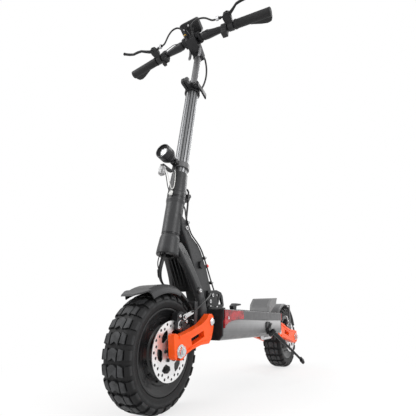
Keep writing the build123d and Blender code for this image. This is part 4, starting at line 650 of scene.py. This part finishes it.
# Fenders: moulded polypropylene with a fine grain, the front one dark and the rear one a lighter
# grey, both rubbed pale on their edges.
def grained(name, colour):
    """Moulded plastic with a fine grain."""
    plastic = Finish(name, Specular_IOR_Level=0.32)
    normal, rim = plastic.edges(0.0008)
    low = tuple(c * 0.8 for c in colour)
    plastic.set(Base_Color=plastic.blend(plastic.blend(low, colour, plastic.noise(12.0, 4.0).rise(0.3, 0.7)),
                                         tuple(c * 1.5 for c in colour), rim * 0.5),
                Roughness=plastic.noise(150.0) * 0.14 + 0.38)
    plastic.bump(plastic.noise(1100.0, 3.0), 0.2, 0.0003, normal)
    return plastic


dress(grained("fender_plastic", (0.038, 0.038, 0.04)), "front_fender")
dress(grained("rear_fender_plastic", (0.09, 0.09, 0.093)), "rear_fender")


# Kickstand: a black forged leg on a bolted bracket, drawn up by a wound return spring beside the
# deck.
def wire(points, radius):
    """A round wire along a smooth line through the points."""
    data = bpy.data.curves.new("wire", "CURVE")
    data.dimensions = "3D"
    data.bevel_depth, data.bevel_resolution, data.resolution_u = radius, 3, 6
    data.use_fill_caps = True
    line = data.splines.new("NURBS")
    line.points.add(len(points) - 1)
    for spot, point in zip(line.points, points):
        spot.co = (*point, 1.0)
    line.order_u = 3
    line.use_endpoint_u = True
    made = bpy.data.objects.new("wire", data)
    mesh = bpy.data.meshes.new_from_object(made)
    bpy.data.objects.remove(made)
    bpy.data.curves.remove(data)
    return mesh


dress(black_metal, "kickstand", "kickstand_bracket")
SPRING_TURNS, SPRING_STEPS, SPRING_R = 9, 8, 0.0036
spring_low, spring_top = Vector((0.1005, 0.052, 0.1835)), Vector((0.1005, 0.092, 0.2015))
spring_side = (spring_top - spring_low).normalized().cross(Vector((1, 0, 0)))
coil = []
for k in range(SPRING_TURNS * SPRING_STEPS + 1):
    angle = 2 * math.pi * k / SPRING_STEPS
    swing = spring_side * SPRING_R * math.sin(angle) + Vector((SPRING_R * math.cos(angle), 0, 0))
    coil.append(spring_low.lerp(spring_top, k / (SPRING_TURNS * SPRING_STEPS)) + swing)
fit("stand_spring", wire(coil, 0.0009), black_screw, "deck")

# Stem: fluted aluminium tube in dark satin anodising with painted shade in its flutes and the post sliding
# in it, bright where the tools have run along it, and black clamps.
head_foot = joint_place("steering_turn")
stem_way = Vector(joints["steering_turn"]["axis"]).normalized()
back_way = Vector((0.0, stem_way.z, -stem_way.y))
STEM_R, POST_R, FLUTE_DEPTH, STRAP_R = 0.0225, 0.013, 0.001, 0.0275


def on_stem(x, back, along):
    """A point x to the left of and back behind the steering axis, along it from the neck."""
    return head_foot + Vector((x, 0, 0)) + back_way * back + stem_way * along


def drawn_tube(name, low, high, radius, groove):
    """Anodised tube with streaks along it, with painted shade in the bottoms of its flutes."""
    metal = Finish(name, Metallic=0.9)
    reach = metal.off_axis(head_foot, stem_way)
    painted_flute_shade = reach.rise(radius - groove * 0.2, radius - groove)
    streak = metal.noise(1.0, 3.0, metal.place * (900.0, 900.0, 6.0))
    # Painted shade: the flute bottoms are painted far darker than the tube.
    metal.set(Base_Color=metal.blend(metal.blend(low, high, streak), tuple(c * 0.16 for c in low), painted_flute_shade),
              Roughness=streak * 0.12 + 0.3)
    metal.bump(streak, 0.12, 0.0002)
    return metal


def strap_band(coat, shade):
    """The strap round the stem is greyer than the arm that stands out from it."""
    ring = coat.off_axis(head_foot, stem_way).rise(STRAP_R + 0.001, STRAP_R)
    return coat.blend(shade, (0.12, 0.12, 0.123), ring)


stem_finish = drawn_tube("stem_anodising", (0.16, 0.163, 0.168), (0.27, 0.273, 0.28), STEM_R, FLUTE_DEPTH)
post_finish = drawn_tube("post_anodising", (0.11, 0.11, 0.113), (0.26, 0.26, 0.265), POST_R, FLUTE_DEPTH)
dress(stem_finish, "stem_tube")
dress(post_finish, "post")
dress(black_metal, "collar_clamp", "collar_lever")
dress(powder_coat("lamp_bracket_metal", (0.016, 0.016, 0.017), 0.34, 0.3, strap_band), "headlight_bracket")
fit("collar_bolt", turned(BOLT, 24, (1, 2)), plated, "stem",
    facing(on_stem(0.0125, -0.045, 0.572), (1, 0, 0)))

# Horn: a grey rounded shell on a black strap under the headlight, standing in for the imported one,
# with a black and a white lead looped back to the stem through a small plug.
HORN_LEAN = -8.3
HORN_MOUTH = [(0.0, 0.0), (0.0026, 0.0), (0.0032, 0.0008), (0.0062, 0.0008), (0.0068, 0.0002),
              (0.0068, -0.0010)]
BLACK_LEAD = [(-0.004, -0.074, 0.182), (-0.004, -0.066, 0.181), (-0.003, -0.055, 0.16),
              (-0.001, -0.046, 0.135), (0.002, -0.036, 0.118), (0.006, -0.029, 0.124),
              (0.007, -0.0275, 0.15), (0.005, -0.0285, 0.18), (0.003, -0.0265, 0.212)]
WHITE_LEAD = [(0.003, -0.074, 0.179), (0.003, -0.064, 0.178), (0.003, -0.05, 0.158),
              (0.004, -0.041, 0.138), (0.006, -0.034, 0.13), (0.009, -0.029, 0.14),
              (0.0085, -0.0285, 0.165), (0.006, -0.0285, 0.19), (0.001, -0.0265, 0.212)]
horn_shell = Finish("horn_shell", Roughness=0.3, Coat_Weight=0.5, Coat_Roughness=0.1)
cloud = horn_shell.noise(260.0, 3.0).rise(0.35, 0.65)
horn_shell.set(Base_Color=horn_shell.blend((0.1, 0.1, 0.102), (0.34, 0.34, 0.345), cloud))
horn_shell.bump(horn_shell.noise(420.0, 2.0), 0.6, 0.0009)
lead_black = mottled("lead_black", (0.01, 0.01, 0.01), (0.022, 0.022, 0.022), (80.0, 3.0),
                     (200.0, 3.0, 0.2, 0.4), Specular_IOR_Level=0.35)
lead_white = mottled("lead_white", (0.6, 0.6, 0.58), (0.8, 0.8, 0.78), (80.0, 3.0),
                     (200.0, 3.0, 0.2, 0.35))
horn_low, horn_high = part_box("horn")
horn_stand = tipped((horn_low + horn_high) / 2 + Vector((0, 0.001, 0)), HORN_LEAN)
horn_body = fit("horn_body", rounded_block((0.0185, 0.0165, 0.0310), 0.0055, 5), horn_shell, "stem",
                horn_stand)
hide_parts("horn")
fit("horn_mouth", turned(HORN_MOUTH, 32), horn_shell, "stem",
    horn_stand @ tipped((0, -0.0080, 0.004), 90))
fit("horn_strap", rounded_block((0.0080, 0.0018, 0.0260), 0.0007), black_metal, "stem",
    horn_stand @ Matrix.Translation((0, 0.0088, 0.0090)))
fit("horn_lead_black", wire([on_stem(*p) for p in BLACK_LEAD], 0.0013), lead_black, "stem")
fit("horn_lead_white", wire([on_stem(*p) for p in WHITE_LEAD], 0.0012), lead_white, "stem")
fit("horn_plug", rounded_block((0.009, 0.008, 0.015), 0.0015), lead_white, "stem",
    tipped(on_stem(0.005, -0.0345, 0.119), -20))

# Headlight: a black barrel with a silvered bowl, one large diode and a clear lens behind a black
# bezel. Its profiles start from the pivot in the bracket, which it tilts on.
BOWL = [(0.0, 0.0375), (0.0055, 0.0375), (0.0092, 0.0405), (0.0118, 0.0450), (0.0132, 0.0500),
        (0.0138, 0.0500), (0.0124, 0.0444), (0.0098, 0.0398), (0.0060, 0.0368), (0.0, 0.0368)]
BEZEL = [(0.0205, 0.0470), (0.0128, 0.0470), (0.0128, 0.0502), (0.0140, 0.0502), (0.0146, 0.0492),
         (0.0180, 0.0505), (0.0208, 0.0530)]
DIODE = [(0.0050, 0.0372), (0.0052, 0.0388), (0.0042, 0.0410), (0.0022, 0.0424), (0.0, 0.0428)]
LAMP_LENS = [(0.0132, 0.0490), (0.0132, 0.0500), (0.0100, 0.0508), (0.0050, 0.0514), (0.0, 0.0516)]
pod_black = grained("lamp_bezel_plastic", (0.012, 0.012, 0.013))
silvered = mottled("silvered_bowl", (0.82, 0.82, 0.83), (0.95, 0.95, 0.95), (80.0, 3.0),
                   (500.0, 3.0, 0.08, 0.12), Metallic=1.0)
facets = silvered.node("TexVoronoi", {"Vector": silvered.place, "Scale": 330.0}, out="Distance")
silvered.bump(facets, 0.35, 0.0008)
diode = mottled("diode", (0.85, 0.85, 0.8), (1.0, 1.0, 0.95), (900.0, 3.0), Roughness=0.25,
                Emission_Strength=0.5, Emission_Color=(1.0, 1.0, 0.97))
clear = mottled("lamp_lens", (0.96, 0.97, 0.98), (1.0, 1.0, 1.0), (40.0, 3.0),
                relief=(60.0, 3.0, 0.03, 0.0005), Roughness=0.03, Transmission_Weight=1.0, IOR=1.45)
dress(powder_coat("lamp_black", (0.018, 0.018, 0.02), 0.36), "headlight")
lamp_stand = facing(joint_place("headlight_tilt"), -back_way)
fit("lamp_bowl", turned(BOWL, 48), silvered, "headlight", lamp_stand)
fit("lamp_bezel", turned(BEZEL, 48, hollow=True), pod_black, "headlight", lamp_stand)
fit("lamp_diode", turned(DIODE, 32), diode, "headlight", lamp_stand)
fit("lamp_lens", turned(LAMP_LENS, 48), clear, "headlight", lamp_stand)

# Bar head: a machined black block that clamps the post, with a grey latch on each side for the
# folding half bars.
dress(black_metal, "bar_head")
dress(powder_coat("latch_grey", (0.16, 0.16, 0.165), 0.3), "latch_left", "latch_right")

# Display: black moulded case under a dark glass, with two plated screws in its underside, three
# wires down to the bar head, and a lead that joins it through a plug with a yellow ring.
DISPLAY_LEAN = -30
DISPLAY_WIRE_R = 0.0017
UNDERSIDE, GLASS_UP = -0.0108, 0.0112
SCREW_SPOTS = ((-0.027, -0.006), (-0.002, -0.014))
PLUG = [(0.0017, -0.0055), (0.0036, -0.0050), (0.0036, 0.0), (0.0030, 0.0), (0.0030, 0.0045),
        (0.0042, 0.0048), (0.0042, 0.0130), (0.0017, 0.0145)]
PLUG_RING = [(0.0030, 0.0002), (0.0046, 0.0002), (0.0049, 0.0010), (0.0049, 0.0036), (0.0046, 0.0044),
             (0.0030, 0.0044)]
WIRE_SPREADS = ((0.010, 0.014, 0.0), (-0.012, 0.004, 0.002), (0.020, 0.018, -0.003))
sheath = mottled("cable_sheath", (0.01, 0.01, 0.0105), (0.026, 0.026, 0.027), (60.0, 4.0),
                 (180.0, 3.0, 0.16, 0.36), (600.0, 3.0, 0.15, 0.0003), Specular_IOR_Level=0.35)
glass = mottled("display_glass", (0.004, 0.004, 0.005), (0.008, 0.008, 0.01), (40.0, 3.0),
                relief=(30.0, 3.0, 0.02, 0.0005), Roughness=0.06, Coat_Weight=0.8, Coat_Roughness=0.03)
yellow = mottled("yellow_plastic", (0.75, 0.42, 0.02), (0.85, 0.5, 0.03), (60.0, 3.0),
                 relief=(900.0, 3.0, 0.15, 0.0002), Roughness=0.4)
dress(grained("display_plastic", (0.02, 0.02, 0.021)), "display")
display_low, display_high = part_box("display")
display_stand = tipped((display_low + display_high) / 2, DISPLAY_LEAN)
fit("display_glass", rounded_block((0.066, 0.037, 0.0015), 0.0007), glass, "post",
    display_stand @ Matrix.Translation((0, 0, GLASS_UP)))
screw_stands = [display_stand @ tipped((x, y, UNDERSIDE), 180) for x, y in SCREW_SPOTS]
fit("display_screws", set_of(BOLT, screw_stands), plated, "post")
for k, (top_x, foot_x, lift) in enumerate(WIRE_SPREADS, 1):
    route = [(top_x, -0.4000, 1.2870), (top_x, -0.4045, 1.2790),
             (top_x * 0.9 + foot_x * 0.1, -0.4085, 1.2690 + lift),
             ((top_x + foot_x) / 2, -0.4085, 1.2560 + lift), (foot_x, -0.4060, 1.2440 + lift),
             (foot_x, -0.4010, 1.2350 + lift), (foot_x, -0.3930, 1.2320 + lift)]
    fit(f"display_wire_{k}", wire(route, DISPLAY_WIRE_R), sheath, "post")
plug_way = Vector((0.36, -0.08, -0.93)).normalized()
plug_spot = Vector((-0.0175, -0.4075, 1.2485))
lead = [(-0.0250, -0.3990, 1.2870), (-0.0252, -0.4020, 1.2780), (-0.0235, -0.4050, 1.2660),
        plug_spot - plug_way * 0.008, plug_spot, plug_spot + plug_way * 0.012,
        (-0.0090, -0.4060, 1.2310), (-0.0055, -0.4010, 1.2285), (-0.0035, -0.3920, 1.2290)]
plug_stand = facing(plug_spot, plug_way)
fit("display_lead", wire(lead, DISPLAY_WIRE_R), sheath, "post")
fit("display_plug", turned(PLUG, 24), pod_black, "post", plug_stand)
fit("display_plug_ring", turned(PLUG_RING, 24, hollow=True), yellow, "post", plug_stand)

# Half bars, grips, controls and levers: tapered black tube, ribbed rubber grips with a palm wing,
# moulded switch pods and forged black levers, with a knurled adjuster where each cable starts.
GRIP_IN, GRIP_OUT, GRIP_RIB = 0.198, 0.306, 0.0048
KNURL_PITCH = 0.0018
SWITCH_WIRE_R = 0.0012
dress(black_metal, "half_bar_left", "half_bar_right", "lever_left", "lever_right")
grip_rubber = Finish("grip_rubber", Specular_IOR_Level=0.3)
along = grip_rubber.node("Math", {0: grip_rubber.x}, operation="ABSOLUTE")
on_grip = along.rise(GRIP_IN, GRIP_IN + 0.002) * along.rise(GRIP_OUT, GRIP_OUT - 0.003)
ribbed = along.wave(GRIP_RIB).rise(0.1, 0.6) * on_grip
grip_rubber.set(Base_Color=grip_rubber.blend((0.014, 0.014, 0.0145), (0.03, 0.03, 0.031),
                                             grip_rubber.noise(80.0, 4.0) * ribbed),
                Roughness=grip_rubber.noise(200.0) * 0.2 + 0.55)
grip_rubber.bump(ribbed + grip_rubber.noise(1200.0) * 0.2, 0.45, 0.0006)
dress(grip_rubber, "grip_left", "grip_right")
dress(grained("pod_plastic", (0.018, 0.018, 0.019)), "controls_left", "controls_right", "throttle_lever")
dress(red_plastic, "switch_button")
knurl = [(0.0062, 0.0), (0.0076, 0.0005)]
for k in range(5):
    knurl += [(0.0079, 0.0012 + KNURL_PITCH * k), (0.0074, 0.0021 + KNURL_PITCH * k)]
knurl += [(0.0076, 0.0105), (0.0062, 0.0110)]
LEFT_SWITCH = [(0.062, -0.3930, 1.2420), (0.072, -0.3990, 1.2390), (0.088, -0.4020, 1.2270),
               (0.106, -0.4030, 1.2205), (0.122, -0.4020, 1.2200), (0.134, -0.3980, 1.2215),
               (0.142, -0.3920, 1.2225)]
RIGHT_SWITCH = [(-0.062, -0.3930, 1.2420), (-0.072, -0.3990, 1.2410), (-0.088, -0.4020, 1.2330),
                (-0.106, -0.4030, 1.2250), (-0.122, -0.4020, 1.2220), (-0.134, -0.3980, 1.2220),
                (-0.142, -0.3920, 1.2225)]
for side, hand, route in ((1, "left", LEFT_SWITCH), (-1, "right", RIGHT_SWITCH)):
    stand = facing((side * 0.1236, -0.4146, 1.2442), (side * 0.9988, 0.0488, -0.01))
    fit(hand + "_bar_adjuster", turned(knurl, 30, hollow=True), bright, hand + "_bar", stand)
    fit(hand + "_switch_wire", wire(route, SWITCH_WIRE_R), sheath, hand + "_bar")

# Cables: black-sheathed brake cables and wiring looms. The loom down the neck and the front brake cable
# cross the steering joint; they are made here as wires that ride on no body, and the neck loom stands in
# place of the imported one.
NECK_LOOM_TOP = [on_stem(0.0183, 0.0235, 0.160), on_stem(0.0225, 0.0292, 0.153)]
NECK_LOOM = [(0.0245, -0.4030, 0.5850), (0.0255, -0.4035, 0.5580), (0.0220, -0.4020, 0.5290),
             (0.0165, -0.3970, 0.5010), (0.0130, -0.3810, 0.4730), (0.0120, -0.3500, 0.4490),
             (0.0120, -0.3180, 0.4310), (0.0120, -0.2920, 0.4010), (0.0120, -0.2700, 0.3660),
             (0.0120, -0.2530, 0.3310), (0.0120, -0.2400, 0.2940), (0.0120, -0.2340, 0.2520)]
BRAKE_LINE = [(0.0695, -0.4180, 0.2325), (0.0700, -0.3940, 0.2460), (0.0690, -0.3680, 0.2600),
              (0.0660, -0.3420, 0.2720), (0.0590, -0.3200, 0.2810), (0.0500, -0.3000, 0.2880),
              (0.0400, -0.2800, 0.2922)]
dress(sheath, "brake_cables", "cable_loop", "neck_loom", "front_loom")
neck_line = fit("neck_line", wire(NECK_LOOM_TOP + NECK_LOOM, 0.0030), sheath, None)
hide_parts("neck_loom")
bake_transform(neck_line)
brake_line = fit("front_brake_line", wire(BRAKE_LINE, 0.0025), sheath, None)
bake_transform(brake_line)

# Neck cable: a second thin cable down the left edge of the beam's back, in three clips, each held
# by a plated screw.
NECK_CABLE = [(0.0195, -0.4210, 0.5450), (0.0235, -0.4175, 0.5375), (0.0270, -0.4180, 0.5270),
              (0.0295, -0.4195, 0.5120), (0.0312, -0.4120, 0.4930), (0.0320, -0.3990, 0.4720),
              (0.0322, -0.3870, 0.4570), (0.0322, -0.3520, 0.4400), (0.0322, -0.3260, 0.4200),
              (0.0322, -0.2980, 0.3800), (0.0325, -0.2730, 0.3400), (0.0330, -0.2470, 0.3030),
              (0.0335, -0.2360, 0.2780), (0.0330, -0.2390, 0.2600), (0.0320, -0.2470, 0.2450)]
NECK_CLIPS = ((-0.4100, 0.4900, -38), (-0.3090, 0.4000, -36), (-0.2650, 0.3270, -26))
CLIP_X = 0.0305
fit("neck_cable", wire(NECK_CABLE, 0.0023), sheath, "deck")
for k, (y, z, lean) in enumerate(NECK_CLIPS):
    stand = tipped((CLIP_X, y, z), lean)
    fit(f"neck_clip_{k}", rounded_block((0.0100, 0.0090, 0.0080), 0.0018), pod_black, "deck",
        stand)
    fit(f"neck_clip_screw_{k}", turned(BOLT, 24, (1, 2)), plated, "deck",
        stand @ tipped((0.0045, -0.0005, 0.0), 90, "Y"))

# Front loom details: a sleeve that gathers the looms behind the front fender, and a thin strand
# that runs into it from the crown.
LOOM_SLEEVE = [(0.0032, -0.0125), (0.0048, -0.0115), (0.0052, -0.004), (0.0050, 0.0), (0.0054, 0.004),
               (0.0048, 0.0115), (0.0032, 0.0125)]
LOOM_STRAND = [(-0.0080, -0.4700, 0.4000), (-0.0090, -0.4790, 0.3850), (-0.0110, -0.4840, 0.3680),
               (-0.0135, -0.4800, 0.3530), (-0.0165, -0.4700, 0.3430), (-0.0200, -0.4630, 0.3340)]
fit("loom_sleeve", turned(LOOM_SLEEVE, 24), sheath, "steering",
    facing((-0.0197, -0.4640, 0.3350), (-0.256, 0.54, -0.803)))
fit("loom_strand", wire(LOOM_STRAND, 0.0015), sheath, "steering")
